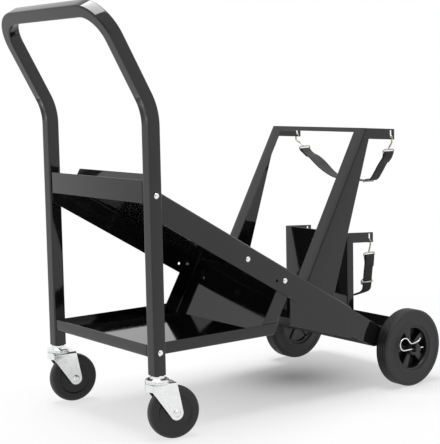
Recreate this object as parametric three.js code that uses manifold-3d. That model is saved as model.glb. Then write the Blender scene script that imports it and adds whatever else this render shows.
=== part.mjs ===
// Welding cart: bent tube frame, sloped tray, lower shelf, bottle base, two bottle racks with straps,
// two rear wheels and two swivel casters. Millimetres, +Z up, handle towards -X, left side towards +Y.
import * as THREE from 'three';
import { mergeVertices } from 'three/addons/utils/BufferGeometryUtils.js';
import Module from 'manifold-3d';

const wasm = await Module();
wasm.setup();

// Clearances and stock
const gap = 0.3;
const sheet = 2;
const mergeDistance = 1e-4;
const roundSides = 12;

// Frame tube
const frameWidth = 390.8;
const postX = 11;
const tube = 25.4;
const tubeWall = 1.5;
const tubeCorner = 3;
const elbowHeight = 609;
const elbowRadius = 110;
const handleLean = THREE.MathUtils.degToRad(29);
const handleReach = 209;
const handleCorner = 62;
const bendSteps = 7;

// Top tray and front panel
const traySlope = THREE.MathUtils.degToRad(29.9);
const trayHeight = 480;
const trayDrop = 57.5;
const trayLength = 510;
const trayStart = 2;
const lipPlace = 32;
const lipHeight = 31.5;
const lipInset = 33;
const sidePlatePlace = 345;
const sidePlateLow = 168;
const sidePlateFall = 49;
const slitLength = 14;
const slitWidth = 1.6;
const panelRise = 2.5;
const panelDrop = 42;

// Lower shelf with its leaning back plate
const shelfHeight = 155;
const shelfLip = 23.5;
const shelfDepth = 300;
const backFlange = 33;

// Bottle base
const baseStart = 470;
const baseEnd = 740;
const rampEnd = 578;
const rampRise = 54;
const baseWallRise = 28;
const baseRecess = 4;
const earHalf = 15;
const earDrop = 14;

// Rear wheels
const wheelDiameter = 165;
const tyreWidth = 32;
const rimDiameter = 96;
const rimWall = 4;
const rimWidth = 28;
const spokeCount = 5;
const spokeTurn = -14;
const spokeRootWidth = 9.6;
const spokeTipWidth = 19;
const spokeOutward = 7;
const spokeInward = 11.5;
const discThick = 3;
const discInset = 7;
const hubDiameter = 30;
const hubLength = 36;
const axlePlace = 660;
const axleDiameter = 16;
const axleStub = 9;
const washerThick = 2;
const washerDiameter = 27;
const clipWire = 2.8;
const clipLoop = 13;
const clipReach = 33;
const clipLeg = 22;
const grooveCount = 3;
const grooveDepth = 2;

// Casters
const casterDiameter = 101;
const casterWidth = 24;
const casterTrail = 30.6;
const casterTurns = { right: -12, left: -8 };
const casterBolt = 8;
const crownClear = 4.4;
const forkPlate = 3;
const forkGap = 30;
const forkTip = 13;
const skirtDrop = 11;
const raceDiameter = 46;
const raceHeight = 8;
const stemDiameter = 12;
const stemNut = 26;
const stemNutHeight = 6;
const insertShare = 0.6;

// Bottle racks
const lowerRackPlace = 563;
const lowerRackTop = 331;
const lowerRackWidth = 206;
const rackFlange = 18;
const armHeight = 22;
const armReach = 77;
const armSlope = 0.06;
const upperRackPlace = 404;
const upperRackWidth = 308;
const upperRackLength = 352;
const upperRackTilt = 0.02;
const upperRackFoot = 83;
const upperRackNeck = 18;
const upperRackStrip = 34;
const upperRackBar = 10;
const upperArmReach = 82;
const slotInset = 8;
const slotWidth = 5;
const slotHeight = 15;
const slotFloor = 4;

// Straps
const webWidth = 25;
const webThick = 2;
const hookWire = 3.6;
const hookDrop = 26;
const eyeHeight = 7;
const eyeWire = 3;
const buckleLength = 13;
const buckleBar = 3;
const upperStrapSag = 61;
const lowerStrapSag = 101;

// Fasteners
const boltDiameter = 6;
const boltHead = 11;
const boltHeadHeight = 3.4;
const boltTail = 1.5;
const nutAcross = 10;
const nutHeight = 5;
const boltRise = 11;
const panelBoltDrop = 19;
const panelDepth = 22;
const bracketBoltInset = 9;
const bracketBoltDrop = 22;
const spareHolePitch = 20;
const trayBoltPlace = 239;

// Places worked out from the sizes above
const postY = (frameWidth - tube) / 2;
const wallOuter = frameWidth / 2 - tube - gap;
const wallInner = wallOuter - sheet;
const innerOuter = wallInner - gap;
const innerInner = innerOuter - sheet;
const leanX = Math.sin(traySlope);
const leanZ = Math.cos(traySlope);
const axleHeight = wheelDiameter / 2;
const baseFloor = axleHeight + axleDiameter / 2 + gap + 1;
const crownBottom = casterDiameter + crownClear;
const raceBottom = crownBottom + forkPlate + gap;
const nutBottom = raceBottom + raceHeight + gap;
const postFoot = nutBottom + stemNutHeight + gap;
const shelfBoltHeight = shelfHeight + boltRise;
const insertHeight = (shelfBoltHeight - postFoot) * insertShare;
const sides = [['right', -1], ['left', 1]];

const trayTop = (x) => trayHeight - x * Math.tan(traySlope);
const trayUnder = (x) => trayTop(x) - sheet / leanZ;
const trayWallLow = (x) => trayTop(x) - trayDrop;

// A point on a plane that stands square to the tray: along is down the tray, up is away from it.
const fromTray = (foot, along, up) => [
  foot[0] + along * leanZ + up * leanX,
  foot[1] - along * leanX + up * leanZ,
];

// Finishes
const finishes = {
  paint: { color: 0x151517, roughness: 0.22, metalness: 0 },
  zinc: { color: 0xc9cbcd, roughness: 0.3, metalness: 1 },
  darkSteel: { color: 0x6a6054, roughness: 0.4, metalness: 1 },
  rubber: { color: 0x1d1d1e, roughness: 0.75, metalness: 0 },
  plastic: { color: 0x18181a, roughness: 0.45, metalness: 0 },
  webbing: { color: 0x161617, roughness: 0.95, metalness: 0 },
};

// Solids
function toSolid(geometry) {
  geometry.deleteAttribute('normal');
  geometry.deleteAttribute('uv');
  const merged = mergeVertices(geometry, mergeDistance);
  const vertProperties = new Float32Array(merged.attributes.position.array);
  const triVerts = new Uint32Array(merged.index.array);
  return new wasm.Manifold(new wasm.Mesh({ numProp: 3, vertProperties, triVerts }));
}

function toGeometry(body) {
  const mesh = body.getMesh();
  const geometry = new THREE.BufferGeometry();
  geometry.setAttribute('position', new THREE.BufferAttribute(mesh.vertProperties, 3));
  geometry.setIndex(new THREE.BufferAttribute(mesh.triVerts, 1));
  geometry.computeVertexNormals();
  return geometry;
}

const join = (...bodies) => wasm.Manifold.union(bodies);
const cut = (body, ...tools) => tools.reduce((left, tool) => left.subtract(tool), body);

function extrude(points, depth, holes = []) {
  const toVectors = (list) => list.map(([a, b]) => new THREE.Vector2(a, b));
  const shape = new THREE.Shape(toVectors(points));
  shape.holes = holes.map((list) => new THREE.Path(toVectors(list)));
  return new THREE.ExtrudeGeometry(shape, { depth, bevelEnabled: false });
}

// A plate drawn in X and Z, from one Y to another
function sidePlate(points, yLow, yHigh) {
  const geometry = extrude(points, yHigh - yLow).rotateX(Math.PI / 2);
  return toSolid(geometry.translate(0, yHigh, 0));
}

function box(x, y, z) {
  const geometry = new THREE.BoxGeometry(x[1] - x[0], y[1] - y[0], z[1] - z[0]);
  return toSolid(geometry.translate((x[0] + x[1]) / 2, (y[0] + y[1]) / 2, (z[0] + z[1]) / 2));
}

function rodY(radius, yLow, yHigh, x, z, count = roundSides) {
  const geometry = new THREE.CylinderGeometry(radius, radius, yHigh - yLow, count);
  return toSolid(geometry.translate(x, (yLow + yHigh) / 2, z));
}

function rodZ(radius, zLow, zHigh, x, y, count = roundSides) {
  const geometry = new THREE.CylinderGeometry(radius, radius, zHigh - zLow, count).rotateX(Math.PI / 2);
  return toSolid(geometry.translate(x, y, (zLow + zHigh) / 2));
}

function rodX(radius, xLow, xHigh, y, z, count = roundSides) {
  const geometry = new THREE.CylinderGeometry(radius, radius, xHigh - xLow, count).rotateZ(Math.PI / 2);
  return toSolid(geometry.translate((xLow + xHigh) / 2, y, z));
}

// A turned piece about Y, from radius and Y points
function turned(points, count = 36) {
  const closed = [...points, points[0]].map(([radius, y]) => new THREE.Vector2(radius, y));
  return toSolid(new THREE.LatheGeometry(closed, count));
}

// A route through given points, so that a swept section turns exactly at them
class Route extends THREE.Curve {
  constructor(points) {
    super();
    this.points = points;
  }

  getPoint(t, target = new THREE.Vector3()) {
    return target.copy(this.points[Math.round(t * (this.points.length - 1))]);
  }

  getPointAt(t, target) {
    return this.getPoint(t, target);
  }

  getTangentAt(t, target = new THREE.Vector3()) {
    const index = Math.round(t * (this.points.length - 1));
    const here = this.points[index];
    const before = this.points[Math.max(index - 1, 0)];
    const after = this.points[Math.min(index + 1, this.points.length - 1)];
    const arriving = here.clone().sub(before).normalize();
    const leaving = after.clone().sub(here).normalize();
    return target.addVectors(arriving, leaving).normalize();
  }
}

function sweep(shape, points, curveSegments = 3) {
  const extrudePath = new Route(points);
  const settings = { steps: points.length - 1, extrudePath, curveSegments, bevelEnabled: false };
  return toSolid(new THREE.ExtrudeGeometry(shape, settings));
}

function roundedSquare(side, corner) {
  const half = side / 2;
  const flat = half - corner;
  const shape = new THREE.Shape();
  shape.moveTo(half, -flat);
  shape.absarc(flat, flat, corner, 0, Math.PI / 2);
  shape.absarc(-flat, flat, corner, Math.PI / 2, Math.PI);
  shape.absarc(-flat, -flat, corner, Math.PI, Math.PI * 1.5);
  shape.absarc(flat, -flat, corner, Math.PI * 1.5, Math.PI * 2);
  return shape;
}

const wireShape = (diameter) => {
  const count = 6;
  const spots = Array.from({ length: count }, (_, i) => (i * Math.PI * 2) / count);
  const points = spots.map((angle) => new THREE.Vector2(Math.cos(angle), Math.sin(angle)));
  return new THREE.Shape(points.map((point) => point.multiplyScalar(diameter / 2)));
};

// Points of a path whose inner corners are rounded to a radius
function roundedPath(corners, radii, steps = bendSteps) {
  const path = [corners[0]];
  for (let i = 1; i < corners.length - 1; i += 1) {
    const back = corners[i - 1].clone().sub(corners[i]).normalize();
    const ahead = corners[i + 1].clone().sub(corners[i]).normalize();
    const half = back.angleTo(ahead) / 2;
    const radius = radii[i - 1];
    const toCentre = back.clone().add(ahead).normalize();
    const centre = corners[i].clone().addScaledVector(toCentre, radius / Math.sin(half));
    const start = corners[i].clone().addScaledVector(back, radius / Math.tan(half)).sub(centre);
    const axis = back.clone().cross(start).normalize();
    for (let step = 0; step <= steps; step += 1) {
      const angle = ((Math.PI - 2 * half) * step) / steps;
      path.push(start.clone().applyAxisAngle(axis, angle).add(centre));
    }
  }
  path.push(corners.at(-1));
  return path;
}

const cart = new THREE.Group();

function add(name, body, finish, parent = cart) {
  const material = new THREE.MeshStandardMaterial(finishes[finish]);
  const mesh = new THREE.Mesh(toGeometry(body), material);
  mesh.name = name;
  parent.add(mesh);
}

// Places of the bolts, in X and Z, with the outer and inner faces that they clamp
const shelfBack = [shelfDepth, shelfHeight + sheet];
const backLength = (trayUnder(shelfBack[0]) - shelfBack[1]) * leanZ - gap;
const bracketBolt = fromTray(shelfBack, bracketBoltInset - backFlange, backLength - bracketBoltDrop);
const bolts = [
  {
    name: 'panel_bolt',
    spot: [postX, trayTop(postX) - panelBoltDrop],
    outer: frameWidth / 2,
    inner: innerInner,
  },
  { name: 'shelf_bolt', spot: [postX, shelfBoltHeight], outer: frameWidth / 2, inner: wallInner },
  { name: 'bracket_bolt', spot: bracketBolt, outer: wallOuter, inner: innerInner },
  {
    name: 'tray_bolt',
    spot: [trayBoltPlace, trayTop(trayBoltPlace) - trayDrop / 2],
    outer: wallOuter,
    inner: wallInner,
  },
];
const boltHole = ({ spot }) => rodY(boltDiameter / 2 + gap, -frameWidth, frameWidth, spot[0], spot[1]);
const [panelHole, shelfHole, bracketHole, trayHole] = bolts.map(boltHole);

// Handle frame: one tube from one post foot over the handle to the other
function buildHandleFrame() {
  const barX = postX - Math.sin(handleLean) * handleReach;
  const barZ = elbowHeight + Math.cos(handleLean) * handleReach;
  const corners = [
    new THREE.Vector3(postX, -postY, postFoot),
    new THREE.Vector3(postX, -postY, elbowHeight),
    new THREE.Vector3(barX, -postY, barZ),
    new THREE.Vector3(barX, postY, barZ),
    new THREE.Vector3(postX, postY, elbowHeight),
    new THREE.Vector3(postX, postY, postFoot),
  ];
  const radii = [elbowRadius, handleCorner, handleCorner, elbowRadius];
  const section = roundedSquare(tube, tubeCorner);
  section.holes = [roundedSquare(tube - 2 * tubeWall, tubeCorner - tubeWall)];
  return cut(sweep(section, roundedPath(corners, radii)), panelHole, shelfHole);
}
add('handle_frame', buildHandleFrame(), 'paint');

// Slots through the tray floor that the feet of the upper rack stand in
const upperFoot = [upperRackPlace, trayTop(upperRackPlace)];
function rackSlots() {
  const half = upperRackWidth / 2;
  const slot = (length) => [
    fromTray(upperFoot, -gap, -2 * sheet),
    fromTray(upperFoot, length + gap, -2 * sheet),
    fromTray(upperFoot, length + gap, sheet),
    fromTray(upperFoot, -gap, sheet),
  ];
  return [
    sidePlate(slot(sheet), -half - gap, -half + upperRackStrip + gap),
    sidePlate(slot(sheet), half - upperRackStrip - gap, half + gap),
    sidePlate(slot(upperRackFoot), -half - gap, -half + sheet + gap),
    sidePlate(slot(upperRackFoot), half - sheet - gap, half + gap),
  ];
}

// Top tray: sloped floor, walls turned down, and a lip turned up at its high end
function buildTopTray() {
  const trayEnd = trayStart + trayLength;
  const slitEnd = sidePlatePlace + slitLength;
  const wall = [
    [trayStart, trayTop(trayStart)],
    [trayStart, trayWallLow(trayStart)],
    [slitEnd, trayWallLow(slitEnd)],
    [slitEnd, trayWallLow(slitEnd) - slitWidth],
    [sidePlatePlace, trayWallLow(sidePlatePlace) - slitWidth],
    [sidePlatePlace, sidePlateLow],
    [trayEnd, sidePlateLow - sidePlateFall],
    [trayEnd, trayTop(trayEnd)],
  ];
  const floor = [
    [lipPlace, trayTop(lipPlace)],
    [lipPlace, trayUnder(lipPlace)],
    [trayEnd, trayUnder(trayEnd)],
    [trayEnd, trayTop(trayEnd)],
  ];
  const lipFoot = [lipPlace, trayTop(lipPlace)];
  const lip = [
    fromTray(lipFoot, 0, -sheet),
    fromTray(lipFoot, sheet, -sheet),
    fromTray(lipFoot, sheet, lipHeight),
    fromTray(lipFoot, 0, lipHeight),
  ];
  const lipEnd = wallInner - lipInset;
  const tray = join(
    sidePlate(wall, -wallOuter, -wallInner),
    sidePlate(wall, wallInner, wallOuter),
    sidePlate(floor, -wallOuter, wallOuter),
    sidePlate(lip, -lipEnd, lipEnd),
  );
  const spareX = bracketBolt[0] - spareHolePitch;
  const spareHole = rodY(boltDiameter / 2, -frameWidth, frameWidth, spareX, bracketBolt[1] + sheet);
  return cut(tray, panelHole, bracketHole, trayHole, spareHole, ...rackSlots());
}
add('top_tray', buildTopTray(), 'paint');

// Front panel between the posts, with ends turned back against the tray walls
function buildFrontPanel() {
  const high = trayHeight + panelRise;
  const low = trayHeight - panelDrop + panelRise;
  const face = box([0, sheet], [-innerOuter, innerOuter], [low, high]);
  const flange = [[0, low], [panelDepth, low], [panelDepth, trayTop(panelDepth)], [0, trayTop(0)]];
  const ends = sides.map(([, side]) => {
    const edges = [side * innerOuter, side * innerInner].sort((a, b) => a - b);
    return sidePlate(flange, ...edges);
  });
  return cut(join(face, ...ends), panelHole);
}
add('front_panel', buildFrontPanel(), 'paint');

// Lower shelf: a shallow tray whose back end leans up to the underside of the top tray
function buildLowerShelf() {
  const floorTop = shelfHeight + sheet;
  const lipTop = shelfHeight + shelfLip;
  const [backX] = shelfBack;
  const lipEnd = backX + (lipTop - floorTop) * Math.tan(traySlope);
  const lip = [[0, shelfHeight], [backX, shelfHeight], [lipEnd, lipTop], [0, lipTop]];
  const web = [
    [backX - sheet, shelfHeight],
    [backX + sheet, shelfHeight],
    fromTray(shelfBack, sheet, backLength),
    fromTray(shelfBack, 0, backLength),
    fromTray(shelfBack, 0, 0),
  ];
  const flange = [
    fromTray(shelfBack, sheet, 0),
    fromTray(shelfBack, sheet, backLength),
    fromTray(shelfBack, -backFlange, backLength),
    fromTray(shelfBack, -backFlange, (-backFlange * leanX) / leanZ),
  ];
  const shelf = join(
    box([0, backX], [-wallOuter, wallOuter], [shelfHeight, floorTop]),
    box([0, sheet], [-wallOuter, wallOuter], [shelfHeight, lipTop]),
    sidePlate(lip, -wallOuter, -wallInner),
    sidePlate(lip, wallInner, wallOuter),
    sidePlate(web, -innerOuter, innerOuter),
    sidePlate(flange, -innerOuter, -innerInner),
    sidePlate(flange, innerInner, innerOuter),
  );
  return cut(shelf, shelfHole, bracketHole);
}
add('lower_shelf', buildLowerShelf(), 'paint');

// Bottle base between the rear wheels: ramp, floor, walls and ears for the axle
function buildBottleBase() {
  const floorTop = baseFloor + sheet;
  const rampTop = baseFloor + rampRise;
  const wallTop = baseFloor + baseWallRise;
  const levelX = (trayHeight - baseRecess - wallTop) / Math.tan(traySlope);
  const floor = [
    [baseStart, rampTop],
    [rampEnd, baseFloor],
    [baseEnd, baseFloor],
    [baseEnd, floorTop],
    [rampEnd, floorTop],
    [baseStart, rampTop + sheet],
  ];
  const wall = [
    [baseStart, rampTop],
    [rampEnd, baseFloor],
    [axlePlace - earHalf - earDrop, baseFloor],
    [axlePlace - earHalf, axleHeight - earDrop],
    [axlePlace + earHalf, axleHeight - earDrop],
    [axlePlace + earHalf + earDrop, baseFloor],
    [baseEnd, baseFloor],
    [baseEnd, wallTop],
    [levelX, wallTop],
    [baseStart, trayTop(baseStart) - baseRecess],
  ];
  const base = join(
    sidePlate(floor, -innerOuter, innerOuter),
    sidePlate(wall, -innerOuter, -innerInner),
    sidePlate(wall, innerInner, innerOuter),
    box([baseEnd - sheet, baseEnd], [-innerOuter, innerOuter], [baseFloor, wallTop]),
  );
  return cut(base, rodY(axleDiameter / 2 + gap, -frameWidth, frameWidth, axlePlace, axleHeight));
}
add('bottle_base', buildBottleBase(), 'paint');

// Slot in a rack arm, for a strap hook
function armSlot(armEnd, armLow, halfWidth) {
  const slotEnd = armEnd - slotInset;
  const slotLow = armLow + slotFloor;
  const across = [-halfWidth - 1, halfWidth + 1];
  return box([slotEnd - slotWidth, slotEnd], across, [slotLow, slotLow + slotHeight]);
}

// Lower bottle rack: a plate on the bottle base with its edges and arms turned back
const lowerArmEnd = lowerRackPlace + armReach;
const lowerArmLow = lowerRackTop - armHeight - armReach * armSlope;
function buildLowerRack() {
  const half = lowerRackWidth / 2;
  const foot = baseFloor + sheet + gap;
  const side = [
    [lowerRackPlace, foot],
    [lowerRackPlace + rackFlange, foot],
    [lowerRackPlace + rackFlange, lowerArmLow + (armReach - rackFlange) * armSlope],
    [lowerArmEnd, lowerArmLow],
    [lowerArmEnd, lowerArmLow + armHeight],
    [lowerRackPlace, lowerRackTop],
  ];
  const rampSlope = rampRise / (rampEnd - baseStart);
  const rampCut = [
    [lowerRackPlace - rackFlange, foot],
    [lowerRackPlace - rackFlange, foot + (rampEnd - lowerRackPlace + rackFlange) * rampSlope],
    [rampEnd, foot],
  ];
  const rack = join(
    box([lowerRackPlace, lowerRackPlace + sheet], [-half, half], [foot, lowerRackTop]),
    sidePlate(side, -half, -half + sheet),
    sidePlate(side, half - sheet, half),
  );
  return cut(rack, armSlot(lowerArmEnd, lowerArmLow, half), sidePlate(rampCut, -frameWidth, frameWidth));
}
add('lower_bottle_rack', buildLowerRack(), 'paint');

// Upper bottle rack: a leaning hoop in the tray's slots with tapered sides and arms
const fromRack = (along, up) => fromTray(upperFoot, along - up * upperRackTilt, up);
const upperTop = fromRack(0, upperRackLength);
const upperArmEnd = upperTop[0] + upperArmReach;
const upperArmLow = upperTop[1] - armHeight - upperArmReach * armSlope;
function buildUpperRack() {
  const half = upperRackWidth / 2;
  const strip = (low, high) => [
    fromRack(0, low),
    fromRack(sheet, low),
    fromRack(sheet, high),
    fromRack(0, high),
  ];
  const leg = strip(-sheet, upperRackLength);
  const bar = strip(upperRackLength - upperRackBar, upperRackLength);
  const neck = fromRack(upperRackNeck, upperRackLength - upperRackNeck);
  const side = [
    fromRack(0, -sheet),
    fromRack(upperRackFoot, -sheet),
    neck,
    [neck[0], upperArmLow + (upperArmEnd - neck[0]) * armSlope],
    [upperArmEnd, upperArmLow],
    [upperArmEnd, upperArmLow + armHeight],
    upperTop,
  ];
  const rack = join(
    sidePlate(leg, -half, -half + upperRackStrip),
    sidePlate(leg, half - upperRackStrip, half),
    sidePlate(bar, -half, half),
    sidePlate(side, -half, -half + sheet),
    sidePlate(side, half - sheet, half),
  );
  return cut(rack, armSlot(upperArmEnd, upperArmLow, half));
}
add('upper_bottle_rack', buildUpperRack(), 'paint');

// Rear axle with cross holes for the clips, and the wheel stack on each end
const hubInner = innerOuter + gap + washerThick + gap;
const hubOuter = hubInner + hubLength;
const clipPlace = hubOuter + gap + washerThick + gap + clipWire / 2;
const axleEnd = clipPlace + axleStub;
function buildAxle() {
  const across = [axlePlace - axleDiameter, axlePlace + axleDiameter];
  const holeRadius = clipWire / 2 + gap;
  const holes = sides.map(([, side]) => rodX(holeRadius, ...across, side * clipPlace, axleHeight));
  return cut(rodY(axleDiameter / 2, -axleEnd, axleEnd, axlePlace, axleHeight, 24), ...holes);
}
add('rear_axle', buildAxle(), 'paint');

function buildTyre() {
  const outer = wheelDiameter / 2;
  const inner = rimDiameter / 2 + gap;
  const half = tyreWidth / 2;
  const shoulder = 6;
  const groove = 1.5;
  const tread = [];
  for (let i = 0; i < grooveCount; i += 1) {
    const y = ((i + 0.5) / grooveCount - 0.5) * (tyreWidth - 2 * shoulder);
    tread.push([outer, y - groove], [outer - grooveDepth, y - groove / 2]);
    tread.push([outer - grooveDepth, y + groove / 2], [outer, y + groove]);
  }
  return turned([
    [inner, -rimWidth / 2],
    [inner + shoulder, -half],
    [outer - shoulder, -half],
    [outer - shoulder / 3, -half + shoulder / 3],
    [outer, -half + shoulder],
    ...tread,
    [outer, half - shoulder],
    [outer - shoulder / 3, half - shoulder / 3],
    [outer - shoulder, half],
    [inner + shoulder, half],
    [inner, rimWidth / 2],
  ]);
}

function buildRim(inward) {
  const outer = rimDiameter / 2;
  const bore = axleDiameter / 2 + gap;
  const barrel = turned([
    [outer - rimWall, -rimWidth / 2],
    [outer, -rimWidth / 2],
    [outer, rimWidth / 2],
    [outer - rimWall, rimWidth / 2],
  ]);
  const hub = turned([
    [bore, -hubLength / 2],
    [hubDiameter / 2, -hubLength / 2],
    [hubDiameter / 2, hubLength / 2],
    [bore, hubLength / 2],
  ], 24);
  const root = hubDiameter / 2 - 1;
  const tip = outer - rimWall + 1;
  const fan = [
    [-spokeRootWidth / 2, root],
    [spokeRootWidth / 2, root],
    [spokeTipWidth / 2, tip],
    [-spokeTipWidth / 2, tip],
  ];
  const spokeFaces = inward > 0 ? [-spokeOutward, spokeInward] : [-spokeInward, spokeOutward];
  const spokes = Array.from({ length: spokeCount }, (_, i) => {
    const spoke = sidePlate(fan, ...spokeFaces);
    return spoke.rotate([0, spokeTurn + (i * 360) / spokeCount, 0]);
  });
  const disc = turned([
    [root, -discThick / 2],
    [tip, -discThick / 2],
    [tip, discThick / 2],
    [root, discThick / 2],
  ]);
  return join(barrel, hub, disc.translate([0, inward * discInset, 0]), ...spokes);
}

function buildWasher() {
  const bore = axleDiameter / 2 + gap;
  const edge = washerDiameter / 2;
  return turned([[bore, 0], [edge, 0], [edge, washerThick], [bore, washerThick]], 24);
}

// Spring clip: a straight leg through the axle, a loop, and a waved leg over it
function buildAxleClip() {
  const rise = axleDiameter / 2 + clipWire / 2 + 2 * gap;
  const loop = clipLoop;
  const loopX = -clipReach;
  const back = loopX + loop;
  const bow = Array.from({ length: 9 }, (_, i) => {
    const angle = Math.PI / 2 + (Math.PI * i) / 8;
    return new THREE.Vector3(loopX + loop * Math.cos(angle), 0, loop + loop * Math.sin(angle));
  }).reverse();
  const route = [
    new THREE.Vector3(clipLeg, 0, 0),
    new THREE.Vector3(-back / 2, 0, 0),
    new THREE.Vector3(back, 0, 0),
    ...bow,
    new THREE.Vector3(loopX + loop * 0.7, 0, 2 * loop - 3),
    new THREE.Vector3(-17, 0, rise + 5),
    new THREE.Vector3(-11, 0, rise + 1.5),
    new THREE.Vector3(-4, 0, rise + 2.5),
    new THREE.Vector3(3, 0, rise + 4),
    new THREE.Vector3(9, 0, rise + 5),
    new THREE.Vector3(14, 0, rise + 11),
  ];
  return sweep(wireShape(clipWire), route);
}

for (const [name, side] of sides) {
  const wheel = new THREE.Group();
  wheel.position.set(axlePlace, (side * (hubInner + hubOuter)) / 2, axleHeight);
  add(`tyre_${name}`, buildTyre(), 'rubber', wheel);
  add(`wheel_rim_${name}`, buildRim(-side), 'plastic', wheel);
  const fittings = new THREE.Group();
  fittings.position.set(axlePlace, 0, axleHeight);
  const inside = side * (innerOuter + gap + washerThick / 2) - washerThick / 2;
  const outside = side * (hubOuter + gap + washerThick / 2) - washerThick / 2;
  add(`inner_washer_${name}`, buildWasher().translate([0, inside, 0]), 'paint', fittings);
  add(`outer_washer_${name}`, buildWasher().translate([0, outside, 0]), 'paint', fittings);
  add(`axle_clip_${name}`, buildAxleClip().translate([0, side * clipPlace, 0]), 'zinc', fittings);
  cart.add(wheel, fittings);
}

// Casters, each about its own swivel axis
function hexagon(across) {
  const radius = across / Math.sqrt(3);
  const spots = Array.from({ length: 6 }, (_, i) => (i * Math.PI) / 3);
  return spots.map((angle) => [radius * Math.cos(angle), radius * Math.sin(angle)]);
}

function buildInsert() {
  const side = tube - 2 * tubeWall - 2 * gap;
  const plug = new THREE.ExtrudeGeometry(roundedSquare(side, tubeCorner - tubeWall), {
    depth: insertHeight,
    curveSegments: 3,
    bevelEnabled: false,
  });
  const block = toSolid(plug.translate(0, 0, postFoot + gap));
  return cut(block, rodZ(stemDiameter / 2 + gap, postFoot - 1, postFoot + insertHeight + 1, 0, 0));
}

function buildStem() {
  const nut = toSolid(extrude(hexagon(stemNut), stemNutHeight).translate(0, 0, nutBottom));
  const rivet = rodZ(stemDiameter * 0.75, crownBottom - gap - 3, crownBottom - gap, 0, 0);
  return join(nut, rodZ(stemDiameter / 2, crownBottom - 2, postFoot + insertHeight - 2, 0, 0), rivet);
}

function buildRace() {
  const outer = raceDiameter / 2;
  const bore = stemDiameter / 2 + gap;
  const ring = turned([
    [bore, 0],
    [outer, 0],
    [outer, raceHeight * 0.7],
    [outer - 1.5, raceHeight * 0.9],
    [outer - 4, raceHeight * 0.9],
    [outer - 6.5, raceHeight * 0.55],
    [bore + 4, raceHeight * 0.55],
    [bore + 4, raceHeight],
    [bore, raceHeight],
  ], 24);
  return ring.rotate([90, 0, 0]).translate([0, 0, raceBottom]);
}

function buildFork() {
  const axleZ = casterDiameter / 2;
  const inner = forkGap / 2;
  const outer = inner + forkPlate;
  const crownRadius = raceDiameter / 2;
  const front = -Math.sqrt(crownRadius ** 2 - outer ** 2);
  const back = casterTrail - 2;
  const crownTop = crownBottom + forkPlate;
  const skirtLow = crownBottom - skirtDrop;
  const tip = Array.from({ length: 9 }, (_, i) => {
    const angle = THREE.MathUtils.lerp(-Math.PI * 0.86, Math.PI * 0.06, i / 8);
    return [casterTrail + forkTip * Math.cos(angle), axleZ + forkTip * Math.sin(angle)];
  });
  const leg = [[front, crownTop], [front, skirtLow], ...tip, [back + 4, crownTop]];
  const beside = [-crownRadius - 1, crownRadius + 1];
  const skirt = cut(
    rodZ(crownRadius, skirtLow, crownTop, 0, 0),
    rodZ(crownRadius - forkPlate, skirtLow - 1, crownBottom, 0, 0),
    box([front, crownRadius + 1], beside, [skirtLow - 1, crownBottom]),
  );
  const fork = join(
    box([front, back + 4], [-outer, outer], [crownBottom, crownTop]),
    skirt,
    sidePlate(leg, -outer, -inner),
    sidePlate(leg, inner, outer),
  );
  return cut(
    fork,
    rodZ(stemDiameter / 2 + gap, crownBottom - 1, crownTop + 1, 0, 0),
    rodY(casterBolt / 2 + gap, -outer - 1, outer + 1, casterTrail, axleZ),
  );
}

function buildCasterWheel() {
  const outer = casterDiameter / 2;
  const half = casterWidth / 2;
  const bore = casterBolt / 2 + gap;
  const hub = forkGap / 2 - gap;
  const crown = 4;
  const wheel = turned([
    [bore, -hub],
    [bore + 6, -hub],
    [bore + 8, -half + 2],
    [outer * 0.66, -half + 2],
    [outer * 0.7, -half],
    [outer - crown, -half],
    [outer - crown / 4, -half + crown],
    [outer, 0],
    [outer - crown / 4, half - crown],
    [outer - crown, half],
    [outer * 0.7, half],
    [outer * 0.66, half - 2],
    [bore + 8, half - 2],
    [bore + 6, hub],
    [bore, hub],
  ], 26);
  return wheel.translate([casterTrail, 0, outer]);
}

function buildCasterBolt(face, tail) {
  const head = rodY(casterBolt * 0.85, -face - gap - 4, -face - gap, casterTrail, casterDiameter / 2);
  return join(head, rodY(casterBolt / 2, -face - gap - 1, tail, casterTrail, casterDiameter / 2));
}

// A hexagon nut on a rod along Y
function nutY(across, rod, yLow, height, x, z) {
  const body = toSolid(extrude(hexagon(across), height).rotateX(Math.PI / 2).translate(x, yLow + height, z));
  return cut(body, rodY(rod / 2 + gap, yLow - 1, yLow + height + 1, x, z));
}

for (const [name, side] of sides) {
  const caster = new THREE.Group();
  caster.position.set(postX, side * postY, 0);
  const face = forkGap / 2 + forkPlate;
  const nutLow = face + gap;
  const casterNut = 6;
  const turn = [0, 0, casterTurns[name]];
  add(`post_insert_${name}`, buildInsert(), 'plastic', caster);
  add(`caster_stem_${name}`, buildStem(), 'zinc', caster);
  add(`caster_race_${name}`, buildRace(), 'zinc', caster);
  add(`caster_fork_${name}`, buildFork().rotate(turn), 'zinc', caster);
  const bolt = buildCasterBolt(face, nutLow + casterNut + 1);
  add(`caster_bolt_${name}`, bolt.rotate(turn), 'zinc', caster);
  const nut = nutY(13, casterBolt, nutLow, casterNut, casterTrail, casterDiameter / 2);
  add(`caster_nut_${name}`, nut.rotate(turn), 'zinc', caster);
  add(`caster_wheel_${name}`, buildCasterWheel().rotate(turn), 'rubber', caster);
  cart.add(caster);
}

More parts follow.
